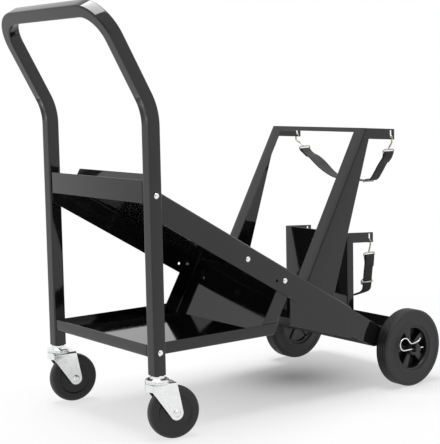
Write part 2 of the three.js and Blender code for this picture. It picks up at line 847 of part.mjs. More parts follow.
// Bolts and nuts through the posts, walls and flanges
for (const { name, spot, outer, inner } of bolts) {
  for (const [sideName, side] of sides) {
    const [x, z] = spot;
    const headFace = outer + gap;
    const shankEnd = inner - gap - nutHeight - boltTail;
    const between = (a, b) => [side * a, side * b].sort((low, high) => low - high);
    const bolt = join(
      rodY(boltDiameter / 2, ...between(shankEnd, headFace + 1), x, z),
      rodY(boltHead / 2, ...between(headFace, headFace + boltHeadHeight), x, z),
    );
    add(`${name}_${sideName}`, bolt, 'zinc');
    const [nutLow] = between(inner - gap - nutHeight, inner - gap);
    add(`${name}_nut_${sideName}`, nutY(nutAcross, boltDiameter, nutLow, nutHeight, x, z), 'zinc');
  }
}

// Straps: a hook over the slot floor of each arm, an eye under it, webbing and a slide buckle.
// A route lists how far across and how high the webbing runs, from the right eye to the left.
const straps = [
  {
    name: 'upper',
    slotX: upperArmEnd - slotInset - slotWidth / 2,
    slotLow: upperArmLow + slotFloor,
    half: upperRackWidth / 2 - sheet / 2,
    leans: { right: 7, left: 27 },
    sag: upperStrapSag,
    buckleAt: 9,
    route: [
      [-146.3, 0], [-145.6, -3], [-141, -8.5], [-134, -16], [-126, -25.5], [-118, -36.5], [-110, -47],
      [-103, -55], [-96, -59], [-84, -60.3], [-72, -61], [-52, -61], [-25, -60.7], [0, -59], [16, -56.6],
      [31, -51.5], [46, -44], [61, -35], [76, -25.5], [92, -16], [108, -9], [121, -5.5], [125.6, -3], [126, 0],
    ],
  },
  {
    name: 'lower',
    slotX: lowerArmEnd - slotInset - slotWidth / 2,
    slotLow: lowerArmLow + slotFloor,
    half: lowerRackWidth / 2 - sheet / 2,
    leans: { right: 1, left: 1 },
    sag: lowerStrapSag,
    buckleAt: 4,
    route: [
      [-101, 0], [-100, -14], [-98, -28], [-96, -43], [-94.5, -56], [-93.5, -65], [-91, -73], [-84, -79],
      [-74, -83], [-60, -88], [-42, -94], [-22, -99], [0, -101], [28, -99], [54, -93], [74, -84],
      [86, -72], [93, -56], [97, -38], [100, -18], [101, 0],
    ],
  },
];

function buildHook(strap, name, side) {
  const arch = hookWire / 2 + sheet / 2 + 2 * gap;
  const tip = 4;
  const { slotX, slotLow, half } = strap;
  const lean = strap.leans[name];
  const spot = (inward, drop) => new THREE.Vector3(slotX, side * (half - inward), slotLow - drop);
  const bow = Array.from({ length: 7 }, (_, i) => {
    const angle = (Math.PI * i) / 6;
    return spot(arch * Math.cos(angle), -arch * Math.sin(angle));
  });
  const shank = [
    spot(arch, tip),
    ...bow,
    spot(-arch, tip + 3),
    spot(-arch * 0.6, hookDrop * 0.5),
    spot(lean * 0.6, hookDrop * 0.8),
    spot(lean, hookDrop),
  ];
  const eyeHalf = webWidth / 2 + eyeWire;
  const eyeY = side * (half - lean);
  const bar = (drop) => rodX(eyeWire / 2, slotX - eyeHalf, slotX + eyeHalf, eyeY, slotLow - drop, 8);
  const post = (offset) => rodZ(
    eyeWire / 2,
    slotLow - hookDrop - eyeHeight - eyeWire / 2,
    slotLow - hookDrop + eyeWire / 2,
    slotX + offset,
    eyeY,
    8,
  );
  return join(
    sweep(wireShape(hookWire), shank),
    bar(hookDrop),
    bar(hookDrop + eyeHeight),
    post(-eyeHalf),
    post(eyeHalf),
  );
}

// The webbing ends just under the eyes, and its middle follows the strap's route
function webbingPath(strap) {
  const { slotX, slotLow, half, leans, sag, route } = strap;
  const top = slotLow - hookDrop - eyeHeight - eyeWire / 2 - gap;
  const from = leans.right - half;
  const begin = route[0][0];
  const wide = (half - leans.left - from) / (route.at(-1)[0] - begin);
  const deep = sag / Math.max(...route.map(([, rise]) => -rise));
  return route.map(([across, rise]) => {
    return new THREE.Vector3(slotX, from + (across - begin) * wide, top + rise * deep);
  });
}

function buildWebbing(path) {
  const half = webWidth / 2;
  const thick = webThick / 2;
  const section = new THREE.Shape([
    new THREE.Vector2(-half, -thick),
    new THREE.Vector2(half, -thick),
    new THREE.Vector2(half, thick),
    new THREE.Vector2(-half, thick),
  ]);
  return sweep(section, path);
}

// Slide buckle: two bars over the webbing, one under it, joined beside it
function buildBuckle(path, index) {
  const inside = webWidth / 2 + 2 * gap;
  const clear = webThick / 2 + 2 * gap;
  const length = buckleLength / 2;
  const bar = (along, low, high) => {
    const edges = [along - buckleBar / 2, along + buckleBar / 2];
    return box([-inside - 1, inside + 1], edges, [low, high]);
  };
  const rail = (side) => {
    const edges = [side * inside, side * (inside + buckleBar)].sort((a, b) => a - b);
    return box(edges, [-length, length], [-clear - buckleBar, clear + buckleBar]);
  };
  const body = join(
    rail(-1),
    rail(1),
    bar(-length + buckleBar / 2, clear, clear + buckleBar),
    bar(length - buckleBar / 2, clear, clear + buckleBar),
    bar(0, -clear - buckleBar, -clear),
  );
  const run = path[index + 1].clone().sub(path[index - 1]);
  const tilt = THREE.MathUtils.radToDeg(Math.atan2(run.z, run.y));
  return body.rotate([tilt, 0, 0]).translate(path[index].toArray());
}

for (const strap of straps) {
  const path = webbingPath(strap);
  add(`${strap.name}_strap_webbing`, buildWebbing(path), 'webbing');
  add(`${strap.name}_strap_buckle`, buildBuckle(path, strap.buckleAt), 'darkSteel');
  for (const [name, side] of sides) {
    add(`${strap.name}_strap_hook_${name}`, buildHook(strap, name, side), 'darkSteel');
  }
}

// The frame's origin is the middle of the floor under the cart
const bounds = new THREE.Box3().setFromObject(cart);
cart.position.x = -(bounds.min.x + bounds.max.x) / 2;

export default cart;
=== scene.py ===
import math

import bmesh
import bpy
import numpy as np
from mathutils import Matrix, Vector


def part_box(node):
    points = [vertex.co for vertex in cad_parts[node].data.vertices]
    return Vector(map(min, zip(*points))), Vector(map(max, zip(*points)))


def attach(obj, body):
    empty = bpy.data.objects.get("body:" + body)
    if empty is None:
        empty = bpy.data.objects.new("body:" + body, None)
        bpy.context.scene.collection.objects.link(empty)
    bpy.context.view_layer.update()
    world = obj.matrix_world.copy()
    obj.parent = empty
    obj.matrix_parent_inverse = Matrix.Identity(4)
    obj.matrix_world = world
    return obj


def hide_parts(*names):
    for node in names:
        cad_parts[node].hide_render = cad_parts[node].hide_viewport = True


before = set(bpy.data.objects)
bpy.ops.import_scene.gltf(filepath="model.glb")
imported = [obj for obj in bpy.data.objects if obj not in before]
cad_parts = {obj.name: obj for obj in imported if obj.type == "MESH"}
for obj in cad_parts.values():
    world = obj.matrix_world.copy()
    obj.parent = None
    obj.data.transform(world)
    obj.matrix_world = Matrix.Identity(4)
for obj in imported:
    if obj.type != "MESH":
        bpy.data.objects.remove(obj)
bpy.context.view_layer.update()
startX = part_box("front_panel")[0].x
sides = (("right", -1), ("left", 1))
millimetre = 0.001
slack = 0.01  # places on a grid nearer than this, in millimetres, count as one
print("cart loaded")


# shapes

# quads of a grid of points, row by row; keep leaves cells out
def gridFaces(rows, cols, wrapRows=False, wrapCols=False, keep=None):
    row = np.arange(rows if wrapRows else rows - 1)[:, None]
    col = np.arange(cols if wrapCols else cols - 1)[None, :]
    nextRow = (row + 1) % rows
    nextCol = (col + 1) % cols
    corners = (row * cols + col, row * cols + nextCol, nextRow * cols + nextCol, nextRow * cols + col)
    quads = np.stack(corners, axis=-1)
    if keep is not None:
        quads = quads[keep]
    return quads.reshape(-1, 4).tolist()


# each corner becomes an arc: a weighted parabola between the two points where a circle of that radius touches
def easedCorners(corners, radius, steps=5, closed=False):
    corners = np.asarray(corners, float)
    before = np.roll(corners, 1, 0) - corners
    after = np.roll(corners, -1, 0) - corners
    beforeLength = np.maximum(np.linalg.norm(before, axis=1, keepdims=True), 1e-9)
    afterLength = np.maximum(np.linalg.norm(after, axis=1, keepdims=True), 1e-9)
    before = before / beforeLength
    after = after / afterLength
    turn = np.pi - np.arccos(np.clip((before * after).sum(1, keepdims=True), -1, 1))
    bend = np.broadcast_to(np.asarray(radius, float).reshape(-1, 1), turn.shape)
    reach = np.minimum(bend * np.tan(turn / 2), 0.499 * np.minimum(beforeLength, afterLength))
    t = np.linspace(0, 1, steps + 1)[None, :, None]
    first = (1 - t) ** 2
    middle = 2 * t * (1 - t) * np.cos(turn / 2)[:, :, None]
    last = t ** 2
    begin = (corners + before * reach)[:, None]
    end = (corners + after * reach)[:, None]
    arcs = (first * begin + middle * corners[:, None] + last * end) / (first + middle + last)
    width = corners.shape[1]
    if closed:
        return arcs.reshape(-1, width)
    return np.concatenate([corners[:1], arcs[1:-1].reshape(-1, width), corners[-1:]])


# a curve through the points: on each span a cubic that leaves and arrives along the chord of its neighbours
def smoothPath(points, perSpan=6):
    points = np.asarray(points, float)
    padded = np.concatenate([2 * points[:1] - points[1:2], points, 2 * points[-1:] - points[-2:-1]])
    a, b, c, d = (part[:, None] for part in (padded[:-3], padded[1:-2], padded[2:-1], padded[3:]))
    t = np.linspace(0, 1, perSpan, endpoint=False)[None, :, None]
    square = 2 * a - 5 * b + 4 * c - d
    cube = 3 * b - a - 3 * c + d
    curve = 0.5 * (2 * b + (c - a) * t + square * t ** 2 + cube * t ** 3)
    return np.concatenate([curve.reshape(-1, 3), points[-1:]])


# directions along a path, from the points on either side
def pathTangents(path, closed=False):
    if closed:
        run = np.roll(path, -1, 0) - np.roll(path, 1, 0)
    else:
        run = np.gradient(path, axis=0)
    return run / np.linalg.norm(run, axis=1, keepdims=True)


# a section (a, b) carried along a path: a runs sideways and b square to it and to the path
def carriedPoints(section, path, sideways, closed=False):
    tangent = pathTangents(path, closed)
    side = np.broadcast_to(np.asarray(sideways, float), path.shape)
    side = side - (side * tangent).sum(1, keepdims=True) * tangent
    side = side / np.linalg.norm(side, axis=1, keepdims=True)
    rise = np.cross(tangent, side)
    return path[:, None] + section[..., 0, None] * side[:, None] + section[..., 1, None] * rise[:, None]


# the same as a closed tube: an open path gets a face at each end
def carried(section, path, sideways, closed=False):
    points = carriedPoints(np.asarray(section, float)[None], np.asarray(path, float), sideways, closed)
    rows, cols = points.shape[:2]
    faces = gridFaces(rows, cols, closed, True)
    if not closed:
        faces += [list(range(cols))[::-1], list(range((rows - 1) * cols, rows * cols))]
    return points.reshape(-1, 3), faces


# points of a circle, as a wire's section
def ring(radius, count=12):
    angle = np.linspace(0, 2 * np.pi, count, endpoint=False)
    return np.stack([radius * np.cos(angle), radius * np.sin(angle)], -1)


# a profile of radius and height turned round an axis through the centre; shape may change the radius by
# height and angle
def turned(profile, count, centre, axis="Y", closed=True, shape=None):
    profile = np.asarray(profile, float)
    angle = np.linspace(0, 2 * np.pi, count, endpoint=False)[None, :]
    radius = np.repeat(profile[:, :1], count, 1)
    height = np.repeat(profile[:, 1:], count, 1)
    if shape is not None:
        radius = shape(radius, height, angle)
    if axis == "Y":
        points = np.stack([radius * np.cos(angle), height, radius * np.sin(angle)], -1)
    else:
        points = np.stack([radius * np.cos(angle), radius * np.sin(angle), height], -1)
    points = points + np.asarray(centre, float)
    return points.reshape(-1, 3), gridFaces(len(profile), count, closed, True)


nutShares = dict(corner=1.16, face=0.95, chamfer=0.16)


# a hexagon with its corners turned off: the smaller of the hexagon's radius and the profile's
def hexagonNut(across, height, bore, low, centre, axis="Y"):
    flat = across / 2
    corner, face = flat * nutShares["corner"], flat * nutShares["face"]
    cut = height * nutShares["chamfer"]
    rows = [(bore, 0), (face, 0), (corner, cut), (corner, height - cut), (face, height), (bore, height)]
    profile = np.array(rows) + (0, low)

    def sixSides(radius, level, angle):
        turn = np.mod(angle, np.pi / 3) - np.pi / 6
        return np.minimum(radius, flat / np.cos(turn))
    return turned(profile, 48, centre, axis, True, sixSides)


# a sheet's middle surface as a grid of points
def sheetGrid(points, keep=None):
    rows, cols = points.shape[:2]
    return points.reshape(-1, 3), gridFaces(rows, cols, keep=keep)


# a flat plate from its outline in X and Z, on the plane y
def flatPlate(outline, y):
    outline = np.asarray(outline, float)
    points = np.stack([outline[:, 0], np.full(len(outline), float(y)), outline[:, 1]], -1)
    return points, [list(range(len(points)))]


# even levels from one value to another, both ends in
def levels(low, high, count):
    return np.linspace(low, high, count)


# a cell of a wall with a round hole: the circle is split where its four corners point to it
def holedCell(corners, centre, radius, steps=6):
    angle = np.unwrap(np.arctan2(corners[:, 2] - centre[2], corners[:, 0] - centre[0]))
    angle = np.append(angle, angle[0] + 2 * np.pi)
    turn = np.concatenate([levels(angle[i], angle[i + 1], steps + 1)[:-1] for i in range(4)])
    circle = centre + radius * np.stack([np.cos(turn), 0 * turn, np.sin(turn)], -1)
    faces = []
    for i in range(4):
        arc = np.arange((i + 1) * steps, i * steps - 1, -1) % (4 * steps) + 4
        faces.append([i, (i + 1) % 4] + arc.tolist())
    return np.concatenate([corners, circle]), faces


meshLook = dict(mergeReach=2e-6, sharpAngle=34, edgeAngle=40, edgeSteps=2)


# one object from its parts in millimetres: faces turned outwards, a sheet given its wall, edges rounded
def makePiece(name, parts, finish, body, nodes, sheet=0, edge=0, merge=True):
    points = np.concatenate([part[0] for part in parts])
    counts = np.cumsum([0] + [len(part[0]) for part in parts])
    faces = [[index + start for index in face] for part, start in zip(parts, counts) for face in part[1]]
    mesh = bpy.data.meshes.new(name)
    mesh.from_pydata((points * millimetre + (startX, 0, 0)).tolist(), [], faces)
    work = bmesh.new()
    work.from_mesh(mesh)
    if merge:
        bmesh.ops.remove_doubles(work, verts=work.verts, dist=meshLook["mergeReach"])
    bmesh.ops.delete(work, geom=[vert for vert in work.verts if not vert.link_faces], context="VERTS")
    bmesh.ops.recalc_face_normals(work, faces=work.faces)
    work.to_mesh(mesh)
    work.free()
    mesh.polygons.foreach_set("use_smooth", np.ones(len(mesh.polygons), bool))
    mesh.set_sharp_from_angle(angle=math.radians(meshLook["sharpAngle"]))
    mesh.materials.append(finish)
    piece = bpy.data.objects.new(name, mesh)
    bpy.context.scene.collection.objects.link(piece)
    if sheet:
        wall = piece.modifiers.new("wall", "SOLIDIFY")
        wall.thickness = sheet * millimetre
        wall.offset = 0
        wall.use_even_offset = True
    if edge:
        rounding = piece.modifiers.new("edge", "BEVEL")
        rounding.width = edge * millimetre
        rounding.segments = meshLook["edgeSteps"]
        rounding.limit_method = "ANGLE"
        rounding.angle_limit = math.radians(meshLook["edgeAngle"])
        rounding.harden_normals = True
    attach(piece, body)
    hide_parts(*nodes)
    return piece


# finishes

# an empty node group with its named inputs and outputs
def newGroup(name, inputs, outputs):
    group = bpy.data.node_groups.new(name, "ShaderNodeTree")
    for label, kind, value in inputs:
        socket = group.interface.new_socket(name=label, in_out="INPUT", socket_type=kind)
        if value is not None:
            socket.default_value = value
    for label in outputs:
        group.interface.new_socket(name=label, in_out="OUTPUT", socket_type="NodeSocketFloat")
    return group, group.nodes.new("NodeGroupInput"), group.nodes.new("NodeGroupOutput")


# one sum, whose values are numbers or other nodes' outputs
def mathNode(tree, operation, *values):
    node = tree.nodes.new("ShaderNodeMath")
    node.operation = operation
    for index, value in enumerate(values):
        if isinstance(value, (int, float)):
            node.inputs[index].default_value = value
        else:
            tree.links.new(value, node.inputs[index])
    return node.outputs[0]


# soft unevenness of a coat or a moulding
def rippleGroup():
    inputs = [("Vector", "NodeSocketVector", None), ("Scale", "NodeSocketFloat", 200.0)]
    group, start, end = newGroup("coat ripple", inputs, ["Height"])
    noise = group.nodes.new("ShaderNodeTexNoise")
    noise.inputs["Detail"].default_value = 2
    group.links.new(start.outputs["Vector"], noise.inputs["Vector"])
    group.links.new(start.outputs["Scale"], noise.inputs["Scale"])
    group.links.new(noise.outputs["Fac"], end.inputs["Height"])
    return group


# patches where hands, dust and floors have dulled a surface
def handlingGroup():
    inputs = [("Vector", "NodeSocketVector", None), ("Scale", "NodeSocketFloat", 14.0),
              ("Spread", "NodeSocketFloat", 0.5)]
    group, start, end = newGroup("handling marks", inputs, ["Mask"])
    broad = group.nodes.new("ShaderNodeTexNoise")
    broad.inputs["Detail"].default_value = 6
    broad.inputs["Roughness"].default_value = 0.62
    group.links.new(start.outputs["Vector"], broad.inputs["Vector"])
    group.links.new(start.outputs["Scale"], broad.inputs["Scale"])
    lifted = mathNode(group, "SUBTRACT", broad.outputs["Fac"], start.outputs["Spread"])
    spread = mathNode(group, "MULTIPLY", lifted, 4.0)
    kept = mathNode(group, "MINIMUM", mathNode(group, "MAXIMUM", spread, 0.0), 1.0)
    group.links.new(kept, end.inputs["Mask"])
    return group


# crystals of plated steel
def crystalGroup():
    inputs = [("Vector", "NodeSocketVector", None), ("Scale", "NodeSocketFloat", 300.0)]
    group, start, end = newGroup("plating crystals", inputs, ["Tone"])
    cells = group.nodes.new("ShaderNodeTexVoronoi")
    group.links.new(start.outputs["Vector"], cells.inputs["Vector"])
    group.links.new(start.outputs["Scale"], cells.inputs["Scale"])
    split = group.nodes.new("ShaderNodeSeparateColor")
    group.links.new(cells.outputs["Color"], split.inputs["Color"])
    group.links.new(split.outputs["Red"], end.inputs["Tone"])
    return group


# plain weave: two crossed waves, the one over where the other is under
def weaveGroup():
    inputs = [("Vector", "NodeSocketVector", None), ("Across", "NodeSocketFloat", 4000.0),
              ("Along", "NodeSocketFloat", 2600.0)]
    group, start, end = newGroup("webbing weave", inputs, ["Height"])
    split = group.nodes.new("ShaderNodeSeparateXYZ")
    group.links.new(start.outputs["Vector"], split.inputs[0])
    warp = mathNode(group, "SINE", mathNode(group, "MULTIPLY", split.outputs["X"], start.outputs["Across"]))
    weft = mathNode(group, "SINE", mathNode(group, "MULTIPLY", split.outputs["Y"], start.outputs["Along"]))
    crossed = mathNode(group, "MULTIPLY", warp, weft)
    group.links.new(mathNode(group, "MULTIPLY_ADD", crossed, 0.5, 0.5), end.inputs["Height"])
    return group


effects = dict(ripple=rippleGroup(), handling=handlingGroup(), crystals=crystalGroup(), weave=weaveGroup())


# one finish from its dictionary: colour between two tones, gloss between two roughnesses, and a fine relief
def makeFinish(name, look):
    material = bpy.data.materials.new(name)
    material.use_nodes = True
    tree = material.node_tree
    shader = tree.nodes["Principled BSDF"]
    coords = tree.nodes.new("ShaderNodeTexCoord")

    def effect(key, source="Object", **values):
        node = tree.nodes.new("ShaderNodeGroup")
        node.node_tree = effects[key]
        tree.links.new(coords.outputs[source], node.inputs["Vector"])
        for label, value in values.items():
            node.inputs[label].default_value = value
        return node.outputs[0]

    marks = effect("handling", Scale=look["markScale"], Spread=look["markSpread"])
    tone = effect("crystals", Scale=look["crystalScale"]) if "crystalScale" in look else marks
    mix = tree.nodes.new("ShaderNodeMix")
    mix.data_type = "RGBA"
    mix.inputs["A"].default_value = (*look["colour"], 1)
    mix.inputs["B"].default_value = (*look["markColour"], 1)
    tree.links.new(tone, mix.inputs["Factor"])
    tree.links.new(mix.outputs["Result"], shader.inputs["Base Color"])
    span = tree.nodes.new("ShaderNodeMapRange")
    span.inputs["To Min"].default_value = look["rough"][0]
    span.inputs["To Max"].default_value = look["rough"][1]
    tree.links.new(marks, span.inputs["Value"])
    tree.links.new(span.outputs["Result"], shader.inputs["Roughness"])
    if "across" in look:
        relief = effect("weave", "UV", Across=look["across"], Along=look["along"])
    else:
        relief = effect("ripple", Scale=look["rippleScale"])
    bump = tree.nodes.new("ShaderNodeBump")
    bump.inputs["Strength"].default_value = look["bump"]
    bump.inputs["Distance"].default_value = look["bumpDepth"]
    tree.links.new(relief, bump.inputs["Height"])
    tree.links.new(bump.outputs["Normal"], shader.inputs["Normal"])
    shader.inputs["Metallic"].default_value = look.get("metal", 0)
    shader.inputs["IOR"].default_value = look.get("ior", 1.5)
    shader.inputs["Sheen Weight"].default_value = look.get("sheen", 0)
    return material


blackPaint = makeFinish("black paint", dict(
    colour=(0.0105, 0.0107, 0.0115), markColour=(0.014, 0.014, 0.015), rough=(0.06, 0.11), markScale=9,
    markSpread=0.5, rippleScale=420, bump=0.1, bumpDepth=0.0002, ior=1.49))
# matt black coat with a weak reflection, for the ramp, floor and end wall of the bottle base: painted shade
# that stands in for the dark reflection of the shadow under the cart; its lighter patches are wear
paintedShadeCoat = makeFinish("painted shade coat", dict(
    colour=(0.0105, 0.0107, 0.0115), markColour=(0.019, 0.019, 0.02), rough=(0.6, 0.8), markScale=16,
    markSpread=0.5, rippleScale=420, bump=0.1, bumpDepth=0.0002, ior=1.2))
brightZinc = makeFinish("bright zinc", dict(
    colour=(0.88, 0.885, 0.89), markColour=(0.8, 0.805, 0.81), rough=(0.14, 0.26), markScale=60,
    markSpread=0.48, crystalScale=420, rippleScale=300, bump=0.08, bumpDepth=0.0002, metal=1))
bronzedSteel = makeFinish("bronzed steel", dict(
    colour=(0.5, 0.46, 0.4), markColour=(0.3, 0.27, 0.23), rough=(0.2, 0.36), markScale=90,
    markSpread=0.46, rippleScale=500, bump=0.15, bumpDepth=0.0002, metal=1))
tyreRubber = makeFinish("tyre rubber", dict(
    colour=(0.0105, 0.0105, 0.011), markColour=(0.024, 0.0235, 0.023), rough=(0.46, 0.66), markScale=26,
    markSpread=0.52, rippleScale=900, bump=0.25, bumpDepth=0.0003))
rimPlastic = makeFinish("rim plastic", dict(
    colour=(0.0095, 0.0095, 0.01), markColour=(0.016, 0.016, 0.0165), rough=(0.3, 0.42), markScale=30,
    markSpread=0.5, rippleScale=700, bump=0.2, bumpDepth=0.0002))
strapWebbing = makeFinish("strap webbing", dict(
    colour=(0.008, 0.008, 0.0085), markColour=(0.017, 0.0165, 0.016), rough=(0.72, 0.9), markScale=40,
    markSpread=0.5, across=4200, along=2400, bump=0.5, bumpDepth=0.0006, sheen=0.12))
print("finishes made")


# bent tube

tubeFrame = dict(width=390.8, postX=11, side=25.4, wall=1.5, corner=3, foot=123.3, elbowHeight=609,
                 elbowRadius=110, lean=29, reach=209, handleRadius=62, bendSteps=20, cornerSteps=5,
                 dentDepth=3, dentReach=30, creaseDepth=3.4, creaseReach=7)


# the tube's rounded square carried up one post, over the handle and down the other post; inside each elbow
# the face sinks along a squared cosine, and a narrow one makes the crease at the bend's upper end
def makeHandleFrame(look):
    lean = math.radians(look["lean"])
    half = (look["width"] - look["side"]) / 2
    post = look["postX"]
    barX = post - math.sin(lean) * look["reach"]
    barZ = look["elbowHeight"] + math.cos(lean) * look["reach"]
    corners = [(post, -half, look["foot"]), (post, -half, look["elbowHeight"]), (barX, -half, barZ),
               (barX, half, barZ), (post, half, look["elbowHeight"]), (post, half, look["foot"])]
    radii = [0, look["elbowRadius"], look["handleRadius"], look["handleRadius"], look["elbowRadius"], 0]
    steps = look["bendSteps"]
    path = easedCorners(corners, radii, steps)
    run = np.concatenate([[0], np.cumsum(np.linalg.norm(np.diff(path, axis=0), axis=1))])
    elbows = np.array([(1, steps + 1), (3 * steps + 4, 4 * steps + 4)])
    beyond = levels(3, look["dentReach"], 7)
    extra = [run[start] - beyond for start in elbows[:, 0]] + [run[end] + beyond for end in elbows[:, 1]]
    spots = np.sort(np.concatenate([run] + extra))
    path = np.stack([np.interp(spots, run, path[:, column]) for column in range(3)], -1)
    tangent = pathTangents(path)
    flat = np.array([-math.cos(lean), 0, -math.sin(lean)])
    upright = np.cross(tangent, (0, 1, 0))
    upright *= np.sign((upright * flat).sum(1, keepdims=True))
    sideways = np.where(np.abs(tangent[:, 1:2]) < 0.02, upright, flat)

    def section(side, corner):
        reach = side / 2
        square = [(reach, -reach), (reach, reach), (-reach, reach), (-reach, -reach)]
        outline = easedCorners(square, corner, look["cornerSteps"], True)
        cut = look["cornerSteps"] + 1
        face = outline[cut - 1] + (outline[cut] - outline[cut - 1]) * levels(0, 1, 9)[1:-1, None]
        return np.concatenate([outline[:cut], face, outline[cut:]])
    bendTops = run[elbows[[0, 1], [1, 0]]]
    bendMiddles = run[elbows].mean(1)

    def hollow(centres, reach):
        place = np.abs(spots[None] - centres[:, None]).min(0) / reach
        return np.cos(np.pi / 2 * np.minimum(place, 1)) ** 2
    dent = look["dentDepth"] * hollow(bendMiddles, look["dentReach"])
    dent += look["creaseDepth"] * hollow(bendTops, look["creaseReach"])

    def dented(side, corner):
        outline = section(side, corner)
        flat = side / 2 - corner
        across = np.where(outline[:, 0] > side / 2 - slack, np.maximum(1 - (outline[:, 1] / flat) ** 2, 0), 0)
        sunk = dent[:, None] * across[None]
        return outline[None] - np.stack([sunk, 0 * sunk], -1)
    outer = dented(look["side"], look["corner"])
    inner = dented(look["side"] - 2 * look["wall"], look["corner"] - look["wall"])
    shell = [carriedPoints(outer, path, sideways), carriedPoints(inner, path, sideways)]
    rows, cols = shell[0].shape[:2]
    points = np.concatenate([part.reshape(-1, 3) for part in shell])
    faces = gridFaces(rows, cols, False, True)
    faces += [[index + rows * cols for index in face[::-1]] for face in faces]
    start = np.arange(cols)
    following = np.roll(start, -1)
    for first in (0, (rows - 1) * cols):
        rim = np.stack([start, following, following + rows * cols, start + rows * cols], -1) + first
        faces += rim.tolist()
    return makePiece("handle_tube", [(points, faces)], blackPaint, "frame", ["handle_frame"])


makeHandleFrame(tubeFrame)
print("handle tube made")


# sheet metal

cutEdge = 0.6  # rounding of a sheet's cut edges


# one folded piece of the frame from its middle surface
def makeFolded(name, parts, node, look, finish=blackPaint):
    return makePiece(name, parts, finish, "frame", [node], look["sheet"], cutEdge)


tray = dict(slope=29.9, height=480, drop=57.5, start=2, end=512, lipPlace=32, lipHeight=31.5, lipHalf=134.7,
            wall=168.7, sheet=2, bend=4, plate=345, plateLow=168, plateFall=49, slit=14, slitWidth=1.6,
            spareX=312.1, spareZ=263, spareHole=3, spareRoom=6, spareBand=(0.267, 0.496), floorFrom=80,
            floorTo=285, plateFrom=400, gap=0.4)
traySlope = math.radians(tray["slope"])
leanX = math.sin(traySlope)
leanZ = math.cos(traySlope)


# height of the tray's floor: it falls evenly from its high end
def trayTop(x):
    return tray["height"] - x * math.tan(traySlope)


# a point on a plane square to the tray: along runs down the tray and up stands away from it
def fromTray(foot, along, up):
    return foot[0] + along * leanZ + up * leanX, foot[1] - along * leanX + up * leanZ


# floor and lip run along the columns, walls and deep side plates across the rows
def makeTray(look):
    bend = look["bend"]
    turn = levels(0, math.pi / 2, 7)
    middle = -look["sheet"] / 2 / leanZ
    lipFoot = (look["lipPlace"], trayTop(look["lipPlace"]))
    lipUp = np.concatenate([levels(look["lipHeight"], bend, 4)[:-1], -1 + bend * (1 - np.sin(turn))])
    lipAlong = np.concatenate([np.full(3, 1.0), 1 + bend * (1 - np.cos(turn))])
    bentX, bentZ = fromTray(lipFoot, lipAlong, lipUp)
    plateX = [look["plate"], look["plate"] + look["slit"]]
    spareX = [look["spareX"] - look["spareRoom"], look["spareX"] + look["spareRoom"]]
    upperX = levels(look["floorFrom"], look["floorTo"], 6)
    farX = np.concatenate([upperX, spareX, plateX, levels(look["plateFrom"], look["end"], 3)])
    floorX = np.concatenate([bentX, farX])
    floorZ = np.concatenate([bentZ, trayTop(farX) + middle])
    wallX = np.concatenate([levels(look["start"], bentX[-1], len(bentX)), farX])
    lipCells = np.arange(len(wallX) - 1) < len(bentX) - 1

    plateLow = look["plateLow"] - look["plateFall"] * (wallX - look["plate"]) / (look["end"] - look["plate"])
    wallLow = trayTop(wallX) - look["drop"]
    bendLow = trayTop(wallX) + np.where(np.arange(len(wallX)) < len(bentX) - 1, -look["gap"], middle - bend)
    shares = np.array([0, *look["spareBand"], 1])[:, None]
    slitLow = wallLow - look["slitWidth"]
    wallZ = np.concatenate([[plateLow], [slitLow], wallLow + (bendLow - wallLow) * shares])
    wallY = np.full(len(wallZ), look["wall"])
    arcY = look["wall"] - bend * (1 - np.cos(turn[1:]))
    arcZ = trayTop(wallX) + middle - bend * (1 - np.sin(turn[1:]))[:, None]
    halfY = np.concatenate([wallY, arcY])
    halfX = np.repeat(wallX[None], len(halfY), 0)
    halfZ = np.concatenate([wallZ, arcZ])
    strips = 7
    acrossY = levels(look["lipHalf"], -look["lipHalf"], strips)
    x = np.concatenate([halfX, np.repeat(floorX[None], strips, 0), halfX[::-1]])
    z = np.concatenate([halfZ, np.repeat(floorZ[None], strips, 0), halfZ[::-1]])
    y = np.concatenate([halfY, acrossY, -halfY[::-1]])[:, None] + 0 * x
    walls = len(wallZ)
    keep = np.ones((len(y) - 1, len(wallX) - 1), bool)
    keep[0] = wallX[:-1] >= look["plate"] - slack
    keep[1] = wallX[:-1] >= look["plate"] + look["slit"] - slack
    keep[walls - 1:len(halfY)] &= ~lipCells
    column = int(np.argmin(np.abs(wallX - spareX[0])))
    holeRow = 3
    keep[holeRow, column] = False
    half = keep[:len(halfY)]
    keep[-len(halfY):] = half[::-1]
    points = np.stack([x, y, z], -1)
    parts = [sheetGrid(points, keep)]
    for grid in (points, points[::-1]):
        cell = grid[holeRow:holeRow + 2, column:column + 2]
        corners = np.array([cell[0, 0], cell[0, 1], cell[1, 1], cell[1, 0]])
        centre = np.array([look["spareX"], corners[0, 1], look["spareZ"]])
        parts.append(holedCell(corners, centre, look["spareHole"]))
    return makeFolded("sloped_tray", parts, "top_tray", look)


makeTray(tray)

frontPanel = dict(half=166.4, depth=22, rise=2.5, drop=42, sheet=2, bend=3)


# a channel in plan, flange, face, flange, carried from its low to its high edge
def makeFrontPanel(look):
    half, depth, face = look["half"], look["depth"], look["sheet"] / 2
    plan = easedCorners([(depth, half), (face, half), (face, -half), (depth, -half)], look["bend"], 6)
    top = tray["height"] + look["rise"]
    low = top - look["drop"]
    behind = plan[:, 0] > face + 0.1
    high = np.where(behind, trayTop(plan[:, 0]) - tray["gap"], top)
    share = levels(0, 1, 4)[None, :]
    z = low + (high[:, None] - low) * share
    x = plan[:, :1] + 0 * z
    y = plan[:, 1:] + 0 * z
    part = sheetGrid(np.stack([x, y, z], -1))
    return makeFolded("cross_panel", [part], "front_panel", look)


makeFrontPanel(frontPanel)

shelf = dict(height=155, lip=23.5, depth=300, flange=33, wall=168.7, backWall=166.4, sheet=2, bend=3.5,
             floorFrom=60, floorHalf=150, strips=5, backBend=3, backGap=0.6, footSink=1.2, leanPower=6)


